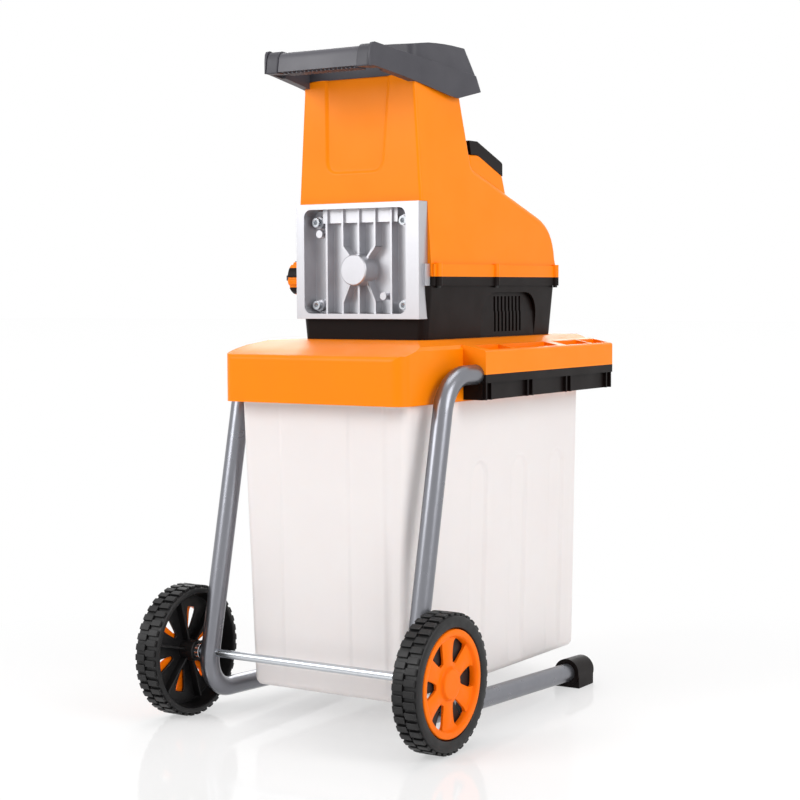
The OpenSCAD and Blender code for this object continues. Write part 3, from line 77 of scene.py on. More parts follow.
def newMaterial(name, look):
    material = bpy.data.materials.new(name)
    material.use_nodes = True
    tree = material.node_tree
    shader = tree.nodes["Principled BSDF"]
    for socket, word in plainSockets.items():
        if word in look:
            shader.inputs[socket].default_value = look[word]
    place = addNode(tree, "ShaderNodeTexCoord").outputs["Object"]
    drift = addNode(tree, "ShaderNodeTexNoise", {"Vector": place}, Detail=3.0,
        Scale=1 / (look["driftMm"] * mm))
    tint = addNode(tree, "ShaderNodeMix", {"Factor": drift.outputs["Fac"]}, data_type="RGBA",
        A=linear(look["colour"]), B=linear(look["shade"]))
    gloss = addNode(tree, "ShaderNodeMapRange", {"Value": drift.outputs["Fac"]}, **{
        "From Min": glossSpan[0], "From Max": glossSpan[1],
        "To Min": look["rough"][0], "To Max": look["rough"][1]})
    grain = addNode(tree, "ShaderNodeTexNoise", {"Vector": place}, Detail=4.0,
        Scale=1 / (look["grainMm"] * mm))
    bump = addNode(tree, "ShaderNodeBump", {"Height": grain.outputs["Fac"]}, Strength=look["bump"],
        Distance=look["grainMm"] * mm * grainRise)
    tree.links.new(tint.outputs["Result"], shader.inputs["Base Color"])
    tree.links.new(gloss.outputs["Result"], shader.inputs["Roughness"])
    tree.links.new(bump.outputs["Normal"], shader.inputs["Normal"])
    return material


# Real grain is finer than a pixel at this distance, so each grainMm is drawn coarse enough to show
finishes = {
    # Moulded ABS, satin from a fine spark-eroded mould: even colour, soft broad highlights
    "orangeAbs": {"colour": "#FF8A00", "shade": "#FC8400", "driftMm": 60, "grainMm": 0.8,
        "rough": (0.34, 0.42), "bump": 0.12, "ior": 1.53, "specular": 0.16},
    # Moulded polypropylene of the wheel covers: a redder orange, a little duller
    "orangePolypropylene": {"colour": "#FF7800", "shade": "#FA7200", "driftMm": 30, "grainMm": 0.7,
        "rough": (0.34, 0.42), "bump": 0.1, "ior": 1.49, "specular": 0.12},
    # Black moulded ABS: warm near-black with wide grey reflections
    "blackAbs": {"colour": "#150E0D", "shade": "#100A09", "driftMm": 40, "grainMm": 0.8,
        "rough": (0.36, 0.46), "bump": 0.2, "ior": 1.53, "specular": 0.1},
    # Dark grey moulded polypropylene: a leather-like grain that breaks up its highlights
    "greyPolypropylene": {"colour": "#45444A", "shade": "#3D3C42", "driftMm": 35, "grainMm": 0.9,
        "rough": (0.44, 0.54), "bump": 0.35, "ior": 1.49, "specular": 0.35},
    # The same plastic on the carry bar, painted lighter as a lit copy that stands for the light and
    # reflection its front face catches, and a little smoother
    "paintedLitGreyPolypropylene": {"colour": "#58575D", "shade": "#504F55", "driftMm": 35, "grainMm": 0.9,
        "rough": (0.36, 0.46), "bump": 0.35, "ior": 1.49, "specular": 0.35},
    # Hard moulded tread plastic: black and half dull
    "treadPlastic": {"colour": "#121112", "shade": "#0E0D0E", "driftMm": 12, "grainMm": 0.9,
        "rough": (0.42, 0.54), "bump": 0.3, "ior": 1.5, "specular": 0.35},
    # Natural polypropylene, blow-moulded: milky, lets light in, dull skin
    "milkyPolypropylene": {"colour": "#F3ECEA", "shade": "#EFE6E4", "driftMm": 90, "grainMm": 0.9,
        "rough": (0.38, 0.48), "bump": 0.12, "ior": 1.49, "subsurface": 0.25,
        "subsurfaceRadius": (1.0, 0.8, 0.7), "subsurfaceScale": 8 * mm},
    # Silver powder coat with metal flake: soft long highlights along the tubes
    "silverPowderCoat": {"colour": "#84858B", "shade": "#7B7C82", "driftMm": 25, "grainMm": 0.5,
        "rough": (0.27, 0.31), "bump": 0.02, "metallic": 0.85},
    # Bright zinc plate on turned steel: sharp light streaks along the rod
    "zincPlate": {"colour": "#C3C6CA", "shade": "#BBBFC4", "driftMm": 60, "grainMm": 0.4,
        "rough": (0.2, 0.24), "bump": 0.02, "metallic": 1.0},
    # Die-cast aluminium, blasted and lacquered: bright silver with a fine grit
    "castAluminium": {"colour": "#C4C4C8", "shade": "#B9B9BE", "driftMm": 18, "grainMm": 0.6,
        "rough": (0.32, 0.4), "bump": 0.05, "metallic": 0.8},
    # Ground tool steel: cool grey with a faint tooth and clear reflections
    "groundSteel": {"colour": "#A6A8AB", "shade": "#96989C", "driftMm": 8, "grainMm": 0.3,
        "rough": (0.22, 0.34), "bump": 0.15, "metallic": 1.0},
    # Stacked electrical sheet: dull grey, rough at its cut edges
    "sheetStack": {"colour": "#7D7F83", "shade": "#6C6E73", "driftMm": 3, "grainMm": 0.5,
        "rough": (0.4, 0.55), "bump": 0.4, "metallic": 1.0},
    # Sintered bronze: warm and slightly porous
    "sinteredBronze": {"colour": "#B08A52", "shade": "#9C7845", "driftMm": 4, "grainMm": 0.3,
        "rough": (0.35, 0.5), "bump": 0.3, "metallic": 1.0},
    # Enamelled copper wire: red-brown, uneven from turn to turn
    "enamelledCopper": {"colour": "#B8622E", "shade": "#9E4F22", "driftMm": 2, "grainMm": 0.8,
        "rough": (0.25, 0.35), "bump": 0.6, "metallic": 1.0},
    # Black oxide on screws: dull and dark, hardly seen under the flange
    "blackOxideSteel": {"colour": "#1E1D1D", "shade": "#171616", "driftMm": 4, "grainMm": 0.4,
        "rough": (0.4, 0.5), "bump": 0.1, "metallic": 0.4},
    # Gloss ABS buttons: clear colour with a small highlight
    "greenGlossAbs": {"colour": "#2F9E44", "shade": "#2A9240", "driftMm": 8, "grainMm": 0.5,
        "rough": (0.24, 0.3), "bump": 0.05, "ior": 1.53, "specular": 0.25},
    "redGlossAbs": {"colour": "#D22B2B", "shade": "#C42525", "driftMm": 8, "grainMm": 0.5,
        "rough": (0.24, 0.3), "bump": 0.05, "ior": 1.53, "specular": 0.25}}

slotFinish = {"orange_shell": "orangeAbs", "wheel_cover_plastic": "orangePolypropylene",
    "black_shell": "blackAbs", "grey_hood": "greyPolypropylene", "wheel_black": "treadPlastic",
    "box_milky": "milkyPolypropylene", "tube_paint": "silverPowderCoat", "zinc_steel": "zincPlate",
    "cast_aluminium": "castAluminium", "tool_steel": "groundSteel", "lamination_steel": "sheetStack",
    "bronze": "sinteredBronze", "copper": "enamelledCopper", "green_button": "greenGlossAbs",
    "red_button": "redGlossAbs"}
# The carry bar takes the lighter, painted-light copy of the grey hood plastic
nodeFinish = {"flange_screws": "blackOxideSteel", "handle_bar": "paintedLitGreyPolypropylene"}
materialNamed = {name: newMaterial(name, look) for name, look in finishes.items()}
print("materials ready:", len(materialNamed))


def materialFor(node):
    return materialNamed[nodeFinish.get(node, slotFinish[slotOf[node]])]


# Making and joining meshes, with points in millimetres

# Turns every face outward and shades it smooth; coatPiece marks the sharp edges
def faceOutward(mesh):
    shell = bmesh.new()
    shell.from_mesh(mesh)
    bmesh.ops.recalc_face_normals(shell, faces=shell.faces)
    for face in shell.faces:
        face.smooth = True
    shell.to_mesh(mesh)
    shell.free()


def newMesh(name, points, faces):
    mesh = bpy.data.meshes.new(name)
    mesh.from_pydata([[c * mm for c in p] for p in points], [], faces)
    mesh.validate()
    faceOutward(mesh)
    piece = bpy.data.objects.new(name, mesh)
    scene.collection.objects.link(piece)
    return piece


def coatPiece(piece, body, material, bevelMm, segments=2, crease=35):
    faceOutward(piece.data)
    piece.data.set_sharp_from_angle(angle=math.radians(crease))
    piece.data.materials.clear()
    piece.data.materials.append(material)
    bevel = piece.modifiers.new("edges", "BEVEL")
    bevel.width = bevelMm * mm
    bevel.segments = segments
    bevel.limit_method = "ANGLE"
    bevel.angle_limit = math.radians(crease)
    bevel.harden_normals = True
    weighted = piece.modifiers.new("normals", "WEIGHTED_NORMAL")
    weighted.keep_sharp = True
    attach(piece, body)


def finishPiece(piece, node, bevelMm, segments=2, crease=35):
    replaced.add(node)
    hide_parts(node)
    coatPiece(piece, bodyOf[node], materialFor(node), bevelMm, segments, crease)


def applyModifiers(piece):
    graph = bpy.context.evaluated_depsgraph_get()
    solid = bpy.data.meshes.new_from_object(piece.evaluated_get(graph))
    piece.modifiers.clear()
    piece.data = solid


def carve(piece, points, faces):
    cutter = newMesh("cutter", points, faces)
    cut = piece.modifiers.new("cut", "BOOLEAN")
    cut.operation = "DIFFERENCE"
    cut.solver = "EXACT"
    cut.object = cutter
    applyModifiers(piece)
    bpy.data.objects.remove(cutter)


def absorb(piece, more):
    both = bmesh.new()
    both.from_mesh(piece.data)
    both.from_mesh(more.data)
    both.to_mesh(piece.data)
    both.free()
    bpy.data.objects.remove(more)


def joinMeshes(parts):
    points, faces = [], []
    for more, rim in parts:
        start = len(points)
        points += list(more)
        faces += [tuple(start + i for i in face) for face in rim]
    return points, faces


def addShells(piece, shells):
    absorb(piece, newMesh("shells", *joinMeshes(shells)))


def ringFaces(rings, around, caps=True, closed=False):
    faces = []
    for k in range(rings if closed else rings - 1):
        for i in range(around):
            j, up = (i + 1) % around, (k + 1) % rings
            faces.append((k * around + i, k * around + j, up * around + j, up * around + i))
    if caps:
        faces.append(tuple(range(around))[::-1])
        faces.append(tuple((rings - 1) * around + i for i in range(around)))
    return faces


def blockMesh(x, y, z):
    points = [(x[i], y[j], z[k]) for k in (0, 1) for i, j in ((0, 0), (1, 0), (1, 1), (0, 1))]
    return points, ringFaces(2, 4)


def prismX(outline, low, high):
    points = [(low, y, z) for y, z in outline] + [(high, y, z) for y, z in outline]
    return points, ringFaces(2, len(outline))


def prismZ(plan, low, high):
    points = [(x, y, low) for x, y in plan] + [(x, y, high) for x, y in plan]
    return points, ringFaces(2, len(plan))


# Outlines and curves

def arc(middle, radius, start, end, steps=8):
    turn = [math.radians(start + (end - start) * i / steps) for i in range(steps + 1)]
    return [(middle[0] + radius * math.cos(a), middle[1] + radius * math.sin(a)) for a in turn]


def circle(middle, radius, sides=24):
    return arc(middle, radius, 0, 360, sides)[:-1]


def roundPlan(frontHalf, rearHalf, front, rear, radius, steps=8, sides=()):
    right = [(frontHalf + (rearHalf - frontHalf) * (y - front) / (rear - front), y) for y in sides]
    left = [(-x, y) for x, y in reversed(right)]
    return (arc((frontHalf - radius, front + radius), radius, -90, 0, steps) + right
        + arc((rearHalf - radius, rear - radius), radius, 0, 90, steps)
        + arc((radius - rearHalf, rear - radius), radius, 90, 180, steps) + left
        + arc((radius - frontHalf, front + radius), radius, 180, 270, steps))


# Rounds each corner (x, y, cut) with a curve that starts and ends cut away from it
def fillet(corners, steps=8):
    points = []
    for i, (x, y, cut) in enumerate(corners):
        if not cut:
            points.append((x, y))
            continue
        here = Vector((x, y))
        before = here + (Vector(corners[i - 1][:2]) - here).normalized() * cut
        after = here + (Vector(corners[(i + 1) % len(corners)][:2]) - here).normalized() * cut
        for k in range(steps + 1):
            t = k / steps
            points.append(tuple((1 - t) ** 2 * before + 2 * t * (1 - t) * here + t * t * after))
    return points


# For each point of a clockwise outline, the step that takes both its sides in by one
def inward(outline):
    steps = []
    for i, here in enumerate(outline):
        back = (Vector(here) - Vector(outline[i - 1])).normalized()
        ahead = (Vector(outline[(i + 1) % len(outline)]) - Vector(here)).normalized()
        a, b = Vector((back.y, -back.x)), Vector((ahead.y, -ahead.x))
        steps.append((a + b) / max(1 + a.dot(b), 0.3))  # 0.3 keeps sharp corners from shooting out
    return steps


def ease(x, low, high):
    t = min(max((x - low) / (high - low), 0.0), 1.0)
    return t * t * (3 - 2 * t)


def between(x, table):
    for (x0, y0), (x1, y1) in zip(table, table[1:]):
        if x <= x1:
            return y0 + (y1 - y0) * max(x - x0, 0.0) / (x1 - x0)
    return table[-1][1]


# Frame tubes: one smooth bent tube on each side, with its bore open at both ends
tubes = {"x": 174, "diameter": 28, "wall": 1.5, "axle": (-235, 95), "lean": 12.3, "slope": 2.2, "legZ": 40,
    "lowBend": 45, "highBend": 60, "topZ": 497, "topEnd": 300, "legEnd": 251, "sides": 40, "steps": 22,
    "edge": 0.4}


# Points along the tube in its (y, z) plane, each with the angle that points out of the bend
def tubeStations(t):
    lean, slope = math.radians(t["lean"]), math.radians(t["slope"])
    up = Vector((math.sin(lean), math.cos(lean)))
    leg = Vector((math.cos(slope), -math.sin(slope)))
    axle = Vector(t["axle"])
    heel = axle + (t["legZ"] - axle.y) / (math.cos(lean) + math.sin(lean) * math.tan(slope)) * up
    knee = axle + (t["topZ"] - axle.y) / math.cos(lean) * up
    heelTurn, kneeTurn = 90 + t["lean"] - t["slope"], 90 - t["lean"]
    heelCut = t["lowBend"] * math.tan(math.radians(heelTurn / 2))
    kneeCut = t["highBend"] * math.tan(math.radians(kneeTurn / 2))
    heelMid = heel + heelCut * leg + t["lowBend"] * Vector((math.sin(slope), math.cos(slope)))
    kneeMid = knee + Vector((kneeCut, -t["highBend"]))
    legEnd = heel + (t["legEnd"] - heel.x) / leg.x * leg
    stations = [(legEnd, 270 - t["slope"])]
    for middle, radius, start, turn in ((heelMid, t["lowBend"], 270 - t["slope"], heelTurn),
            (kneeMid, t["highBend"], 180 - t["lean"], kneeTurn)):
        for i in range(t["steps"] + 1):
            a = math.radians(start - turn * i / t["steps"])
            stations.append((middle + radius * Vector((math.cos(a), math.sin(a))), math.degrees(a)))
    return stations + [(Vector((t["topEnd"], t["topZ"])), 90)]


def addTube(side):
    t = tubes
    name = "Right" if side > 0 else "Left"
    points = []
    stations = tubeStations(t)
    runs = [(s, t["diameter"] / 2) for s in stations]
    runs += [(s, t["diameter"] / 2 - t["wall"]) for s in reversed(stations)]
    for (place, out), radius in runs:
        for i in range(t["sides"]):
            a = 2 * math.pi * i / t["sides"]
            reach = radius * math.cos(a)
            points.append((side * t["x"] + radius * math.sin(a),
                place.x + reach * math.cos(math.radians(out)), place.y + reach * math.sin(math.radians(out))))
    piece = newMesh("frameTube" + name, points, ringFaces(len(runs), t["sides"], caps=False, closed=True))
    finishPiece(piece, "frame_tube_" + name.lower(), t["edge"], segments=3)


# Collection box: blow-moulded tapered tub with soft channels in its sides and faint steps down its front
tub = {"half": 144, "neckHalf": 140, "shoulder": 458, "front": -197, "rear": 306, "floor": 44, "rim": 463.3,
    "rimHeight": 4, "taper": 13, "frontTaper": 7, "rearFlare": 8, "wall": 3, "corner": 12, "innerCorner": 4,
    "foot": 11, "edge": 0.8,
    "channelY": (1, 120, 239), "channelHalf": 22, "channelTop": 366, "channelDepth": 3.6, "channelSoft": 4.4,
    "channelFoot": (52, 66), "panelRise": 1.4, "panelEdges": ((-75, -71), (41, 45)), "grooveDepth": 2.2,
    "grooveEdges": ((100, 106), (120, 128)), "stepFoot": (48, 70), "flangeHalf": 150, "flangeFront": -202,
    "flangeFrom": 100, "flangeRun": 30, "lipHalf": 60, "lipY": (304, 324), "lipZ": (403, 409)}
# Where the tub's mesh has rows: more of them where a channel or a step bends
tubRows = {"channelSteps": 11, "channelStep": 2.75, "sideY": (-150, -100, -60, 60, 180, 278),
    "frontX": (-112, -95, -78, -75, -73, -71, -68, -40, -10, 20, 38, 41, 43, 45, 48, 75, 97, 100, 103, 106,
        110, 114),
    "lowZ": (90, 120, 160, 200, 240, 280, 315, 330, 338), "archZ": 341, "archStep": 2.5, "archSteps": 13,
    "highZ": (385, 420, 449, 457.6, 458.5), "underRim": 0.2, "footAngles": range(0, 91, 15)}


def tubSink(y, z):
    sink = 0.0
    high = tub["channelTop"] - tub["channelHalf"]
    soft = tub["channelSoft"] / 2
    for middle in tub["channelY"]:
        away = abs(y - middle)
        if z > high:
            away = math.hypot(away, z - high)
        sink = max(sink, 1 - ease(away, tub["channelHalf"] - soft, tub["channelHalf"] + soft))
    return sink * tub["channelDepth"] * ease(z, *tub["channelFoot"])


def tubStep(x, z):
    raised = ease(x, *tub["panelEdges"][0]) - ease(x, *tub["panelEdges"][1])
    groove = ease(x, *tub["grooveEdges"][0]) - ease(x, *tub["grooveEdges"][1])
    return (tub["grooveDepth"] * groove - tub["panelRise"] * raised) * ease(z, *tub["stepFoot"])


def tubRing(z, inset, soft=True):
    share = (tub["rim"] - z) / (tub["rim"] - tub["floor"])
    half = (tub["half"] if z < tub["shoulder"] else tub["neckHalf"]) - tub["taper"] * share - inset
    front = tub["front"] + tub["frontTaper"] * share + inset
    rear = tub["rear"] + tub["rearFlare"] * share - inset
    radius = max(tub["corner"] - inset, tub["innerCorner"])
    near = range(-tubRows["channelSteps"], tubRows["channelSteps"] + 1)
    sides = [middle + tubRows["channelStep"] * k for middle in tub["channelY"] for k in near]
    plan = roundPlan(half, half, front, rear, radius, sides=sorted(sides + list(tubRows["sideY"])))
    touch = 0.01  # a point this near a wall lies on it
    ring = []
    for x, y in plan + [(x, front) for x in tubRows["frontX"]]:
        if soft and abs(x) > half - touch:
            x -= math.copysign(tubSink(y, z), x)
        if soft and y < front + touch and abs(x) < half - radius:
            y += tubStep(x, z)
        ring.append((x, y, z))
    return ring


def tubFlange(ring, z):
    grow = tub["flangeHalf"] - tub["neckHalf"]
    ahead = tub["flangeFront"] - tub["front"]
    return [(x + math.copysign(grow * ease(abs(x), tub["flangeFrom"], tub["neckHalf"]), x),
        y + ahead * (1 - ease(y, tub["front"], tub["front"] + tub["flangeRun"])), z) for x, y, _ in ring]


def addTub():
    t, rows = tub, tubRows
    foot = [math.radians(a) for a in rows["footAngles"]]
    levels = list(rows["lowZ"]) + [rows["archZ"] + rows["archStep"] * k for k in range(rows["archSteps"])]
    levels += list(rows["highZ"]) + [t["rim"] - rows["underRim"]]
    rings = [tubRing(t["floor"] + t["foot"] * (1 - math.sin(a)), t["foot"] * (1 - math.cos(a)))
        for a in reversed(foot)]
    rings += [tubRing(z, 0) for z in levels]
    mouth = tubRing(t["rim"], 0, soft=False)
    top = t["rim"] + t["rimHeight"]
    rings += [tubFlange(mouth, t["rim"]), tubFlange(mouth, top)]
    rings.append([(x, y, top) for x, y, _ in tubRing(t["rim"], t["wall"], soft=False)])
    rings += [tubRing(z, t["wall"]) for z in reversed(levels)]
    rings += [tubRing(t["floor"] + t["wall"] + t["foot"] * (1 - math.sin(a)),
        t["wall"] + t["foot"] * (1 - math.cos(a))) for a in foot]
    shells = [([p for ring in rings for p in ring], ringFaces(len(rings), len(rings[0])))]
    shells.append(blockMesh((-t["lipHalf"], t["lipHalf"]), t["lipY"], t["lipZ"]))
    finishPiece(newMesh("collectionTub", *joinMeshes(shells)), "collection_box", t["edge"], crease=50)


# Upper housing: neck and motor hump are one moulding with drafted sides, and the switch block stands on it
housing = {"foot": 635, "footHalf": 113, "topHalf": 95, "draftTop": 919, "wall": 3.5, "edge": 0.8,
    "outline": ((-101, 635, 0), (-101, 645, 0), (-101, 902, 0), (-101, 919, 0), (13, 919, 3), (48, 795.8, 6),
        (292.5, 714, 50), (293, 635, 0)),
    "plainFoot": 640, "plainTop": 905, "plainRadius": 1.0, "frontTo": -90, "frontRadius": 5.0,
    "neckFrom": 822, "neckRadius": 8.0, "humpRadius": 11.0,
    "switchBlock": ((44, 780, 0), (44, 814.5, 0), (72, 815.7, 5), (141.5, 788.5, 4), (158, 745.3, 0)),
    "switchHalf": 98.7, "switchRadius": 3.5, "switchHole": ((-90, 90), (72, 126), (770, 850)),
    "flangeTop": 653, "flangeHalf": 116, "flangeWide": 8, "flangeCorner": 14, "flangeFront": -84,
    "flangeRear": 293.3, "flangeInner": 284, "knobGap": (-70, -34), "bossY": (-72, 92, 279.3), "bossX": 115.5,
    "bossRadius": 5.5, "bossRise": 1.5,
    "stripIn": 98, "stripOut": (111, 105.5), "stripY": (-85.6, -81.5), "stripZ": (640, 740.8)}
# Cut out of it: the hollow, the mouth, the rim behind the neck's front, the plate's seat, the knob's hole
housingCuts = {"hollowFoot": 620, "hollowRadius": 0.6, "smallFillet": 10, "half": 140,
    "mouthY": (-97.4, 18), "mouthZ": (880, 940), "neckY": (-97.2, 60), "neckZ": (912.5, 950),
    "plateY": (-140, -85.7), "plateZ": (600, 741.3), "knob": (-52, 635), "knobRadius": 16.6,
    "knobX": (-140, -100)}
# Shallow panel on the neck's front, with eased edges
neckPanel = {"corners": ((-60, 940, 0), (-59, 782, 22), (43, 782, 22), (57, 940, 0)), "face": -101,
    "clear": -112, "depth": 3.0, "slope": 7.0, "shares": (0, 0.25, 0.5, 0.75, 1)}


def housingHalf(z):
    rise = (z - housing["foot"]) / (housing["draftTop"] - housing["foot"])
    return housing["footHalf"] + (housing["topHalf"] - housing["footHalf"]) * rise


def housingRadius(y, z):
    if z < housing["plainFoot"] or z > housing["plainTop"]:
        return housing["plainRadius"]
    if y < housing["frontTo"]:
        return housing["frontRadius"]
    return housing["neckRadius"] if z > housing["neckFrom"] else housing["humpRadius"]


# A body with the outline in its (y, z) plane, half wide each way, with both rims rounded
def ribbonBody(outline, half, rimRadius, steps=5):
    points, faces = [], []
    around = 2 * (steps + 1)
    for here, step in zip(outline, inward(outline)):
        radius = rimRadius(*here)
        row = []
        for k in range(steps + 1):
            a = math.pi / 2 * k / steps
            y, z = Vector(here) + step * radius * (1 - math.sin(a))
            row.append((half(z) - radius * (1 - math.cos(a)), y, z))
        points += row + [(-x, y, z) for x, y, z in reversed(row)]
    for i in range(len(outline)):
        j = (i + 1) % len(outline)
        for k in range(around - 1):
            faces.append((i * around + k, i * around + k + 1, j * around + k + 1, j * around + k))
    faces.append(tuple(i * around for i in range(len(outline))))
    faces.append(tuple(i * around + around - 1 for i in range(len(outline)))[::-1])
    return points, faces


def hollowHousing(piece):
    h, cuts = housing, housingCuts
    # Fillets that are small beside the wall are left off inside
    corners = fillet([(y, z, cut if cut > cuts["smallFillet"] else 0) for y, z, cut in h["outline"]])
    inside = [tuple(Vector(p) + s * h["wall"]) for p, s in zip(corners, inward(corners))]
    inside = [(y, cuts["hollowFoot"] if z < h["plainFoot"] else z) for y, z in inside]
    carve(piece, *ribbonBody(inside, lambda z: housingHalf(z) - h["wall"],
        lambda y, z: cuts["hollowRadius"], steps=1))
    mouth, wide = h["topHalf"] - h["wall"], cuts["half"]
    carve(piece, *blockMesh((-mouth, mouth), cuts["mouthY"], cuts["mouthZ"]))
    carve(piece, *blockMesh((-wide, wide), cuts["neckY"], cuts["neckZ"]))
    carve(piece, *blockMesh((-wide, wide), cuts["plateY"], cuts["plateZ"]))
    carve(piece, *prismX(circle(cuts["knob"], cuts["knobRadius"]), *cuts["knobX"]))


def carveNeckPanel(piece):
    n = neckPanel
    face = fillet(n["corners"])
    steps = inward(face)
    rings = [(x, n["clear"], z) for x, z in face]
    for share in n["shares"]:
        y = n["face"] + n["depth"] * ease(share, 0, 1)
        shift = share * n["slope"]
        rings += [(x - s.x * shift, y, z - s.y * shift) for (x, z), s in zip(face, steps)]
    carve(piece, rings, ringFaces(len(n["shares"]) + 1, len(face)))


def housingTrim():
    h = housing
    out, inn, corner = h["flangeHalf"], h["flangeHalf"] - h["flangeWide"], h["flangeCorner"]
    gapFront, gapRear = h["knobGap"]
    plan = ([(out, h["flangeFront"])] + arc((out - corner, h["flangeRear"] - corner), corner, 0, 90)
        + arc((corner - out, h["flangeRear"] - corner), corner, 90, 180)
        + [(-out, gapRear), (-inn, gapRear), (-inn, h["flangeInner"]), (inn, h["flangeInner"])]
        + [(inn, h["flangeFront"])])
    trim = [prismZ(plan, h["foot"], h["flangeTop"]),
        blockMesh((-out, -inn), (h["flangeFront"], gapFront), (h["foot"], h["flangeTop"]))]
    front, back = h["stripY"]
    for side in (-1, 1):
        strip = []
        for x, z in zip(h["stripOut"], h["stripZ"]):
            strip += [(side * h["stripIn"], front, z), (side * x, front, z), (side * x, back, z),
                (side * h["stripIn"], back, z)]
        trim.append((strip, ringFaces(2, 4)))
    for y in h["bossY"]:
        for x in (-h["bossX"], h["bossX"]):
            trim.append(prismZ(circle((x, y), h["bossRadius"]), h["foot"], h["flangeTop"] + h["bossRise"]))
    return trim


def addHousing():
    h = housing
    piece = newMesh("upperHousing", *ribbonBody(fillet(h["outline"]), housingHalf, housingRadius))
    hollowHousing(piece)
    carveNeckPanel(piece)
    addShells(piece, housingTrim())
    block = newMesh("switchBlock", *ribbonBody(fillet(h["switchBlock"]), lambda z: h["switchHalf"],
        lambda y, z: h["switchRadius"]))
    carve(block, *blockMesh(*h["switchHole"]))  # room under the panel for the switches to travel
    absorb(piece, block)
    finishPiece(piece, "upper_housing", h["edge"], crease=40)


# Hopper hood: wings from the handle to the rear tip, a set-back collar above them and a funnel inside
# Rings: half width in front and behind, front, rear, corner radius, and the line or height to follow
hood = {"rings": ((97.8, 112, -101, 62, 10, "low"), (97.8, 108.4, -101, 55.4, 11, "ridge"),
        (92.4, 107.4, -98.5, 54.6, 12, "collar"), (91.6, 98.5, -97.5, 41, 14, "rim"),
        (89.2, 96, -95, 38.5, 12, "rim"), (87.5, 94, -93, 37.5, 11, 930), (89.5, 97, -95, 42, 11, 916.8),
        (95.4, 109.6, -98.5, 59.6, 8, "low")),
    "sideY": (-80, -60, -40, -20, 0, 20), "frontShares": 4, "edge": 1.0,
    "low": ((-206, 920.5), (-194, 921), (-101, 908.6), (-3, 891.4), (62, 907)), "neckEdge": 919,
    "neckBlend": (84, 97), "sideFrom": -90,
    "ridge": ((-206, 923), (-205, 931), (-204, 939), (-202, 947.5), (-199, 951.7), (-194.5, 953.2),
        (-118, 945), (-40, 938), (4, 933.1), (60, 927)), "collarRise": 0.8,
    "rim": ((-101, 960.5), (-65, 966.2), (-29, 968.3), (5, 968.3), (42, 966.5)), "crown": 2.6,
    "crownHalf": 92, "crownTo": -85,
    "wing": ((-206, 87.2), (-205, 88.6), (-204, 89.3), (-202, 90), (-199, 90.5), (-101, 97.8), (-3, 107.5),
        (62, 112)),
    "armInner": ((-206, 86.3), (-166.6, 86.3), (-166.4, 80), (-88, 86)),
    "armY": (-206, -205, -204, -202, -199, -194.5, -180, -166.6, -166.4, -140, -115, -90)}


def hoodHeight(line, x, y):
    if line == "low":
        side = between(y, hood["low"])
        front = hood["neckEdge"] + (side - hood["neckEdge"]) * ease(abs(x), *hood["neckBlend"])
        return side if y > hood["sideFrom"] else front
    if line == "rim":
        crown = hood["crown"] * max(1 - (x / hood["crownHalf"]) ** 2, 0)
        return between(y, hood["rim"]) + (crown if y < hood["crownTo"] else 0)
    if line == "ridge":
        return between(y, hood["ridge"])
    if line == "collar":
        return between(y, hood["ridge"]) + hood["collarRise"]
    return line


def hoodRing(frontHalf, rearHalf, front, rear, radius, line):
    shares = hood["frontShares"]
    plan = roundPlan(frontHalf, rearHalf, front, rear, radius, steps=6, sides=hood["sideY"])
    plan += [((frontHalf - radius) * k / shares, front) for k in range(1 - shares, shares)]
    return [(x, y, hoodHeight(line, x, y)) for x, y in plan]


def addHood():
    rings = [hoodRing(*ring) for ring in hood["rings"]]
    skin = [p for ring in rings for p in ring]
    shells = [(skin, ringFaces(len(rings), len(rings[0]), caps=False, closed=True))]
    for side in (-1, 1):
        rows = []
        for y in hood["armY"]:
            out, inn = side * between(y, hood["wing"]), side * between(y, hood["armInner"])
            low, high = between(y, hood["low"]), between(y, hood["ridge"])
            rows += [(inn, y, low), (out, y, low), (out, y, high), (inn, y, high)]
        shells.append((rows, ringFaces(len(hood["armY"]), 4)))
    piece = newMesh("hopperHood", *joinMeshes(shells))
    finishPiece(piece, "hopper_hood", hood["edge"], segments=3, crease=40)


# Carry handle: a leaning bar with ribs below, held by two sleeves
handle = {"profile": ((-205.8, 919.5, 3), (-200.5, 953, 14), (-169, 951, 6), (-167, 921.5, 4)),
    "barHalf": 66.7, "barInset": 2.2, "barEdge": 0.8, "sleeveIn": 67.2, "sleeveOut": 86.1, "sleeveEdge": 1.2,
    "ribs": 18, "ribPitch": 7.0, "ribThick": 2.4, "ribY": (-198, -172), "ribZ": (919.3, 923)}


def addHandle():
    h = handle
    outer = fillet(h["profile"], steps=6)
    inner = [tuple(Vector(p) + s * h["barInset"]) for p, s in zip(outer, inward(outer))]
    shells = [prismX(inner, -h["barHalf"], h["barHalf"])]
    for k in range(h["ribs"]):
        x = (k - (h["ribs"] - 1) / 2) * h["ribPitch"]
        shells.append(blockMesh((x - h["ribThick"] / 2, x + h["ribThick"] / 2), h["ribY"], h["ribZ"]))
    finishPiece(newMesh("handleBar", *joinMeshes(shells)), "handle_bar", h["barEdge"], crease=50)
    sleeves = [prismX(outer, h["sleeveIn"], h["sleeveOut"]), prismX(outer, -h["sleeveOut"], -h["sleeveIn"])]
    piece = newMesh("handleSleeves", *joinMeshes(sleeves))
    finishPiece(piece, "handle_caps", h["sleeveEdge"], segments=3, crease=50)


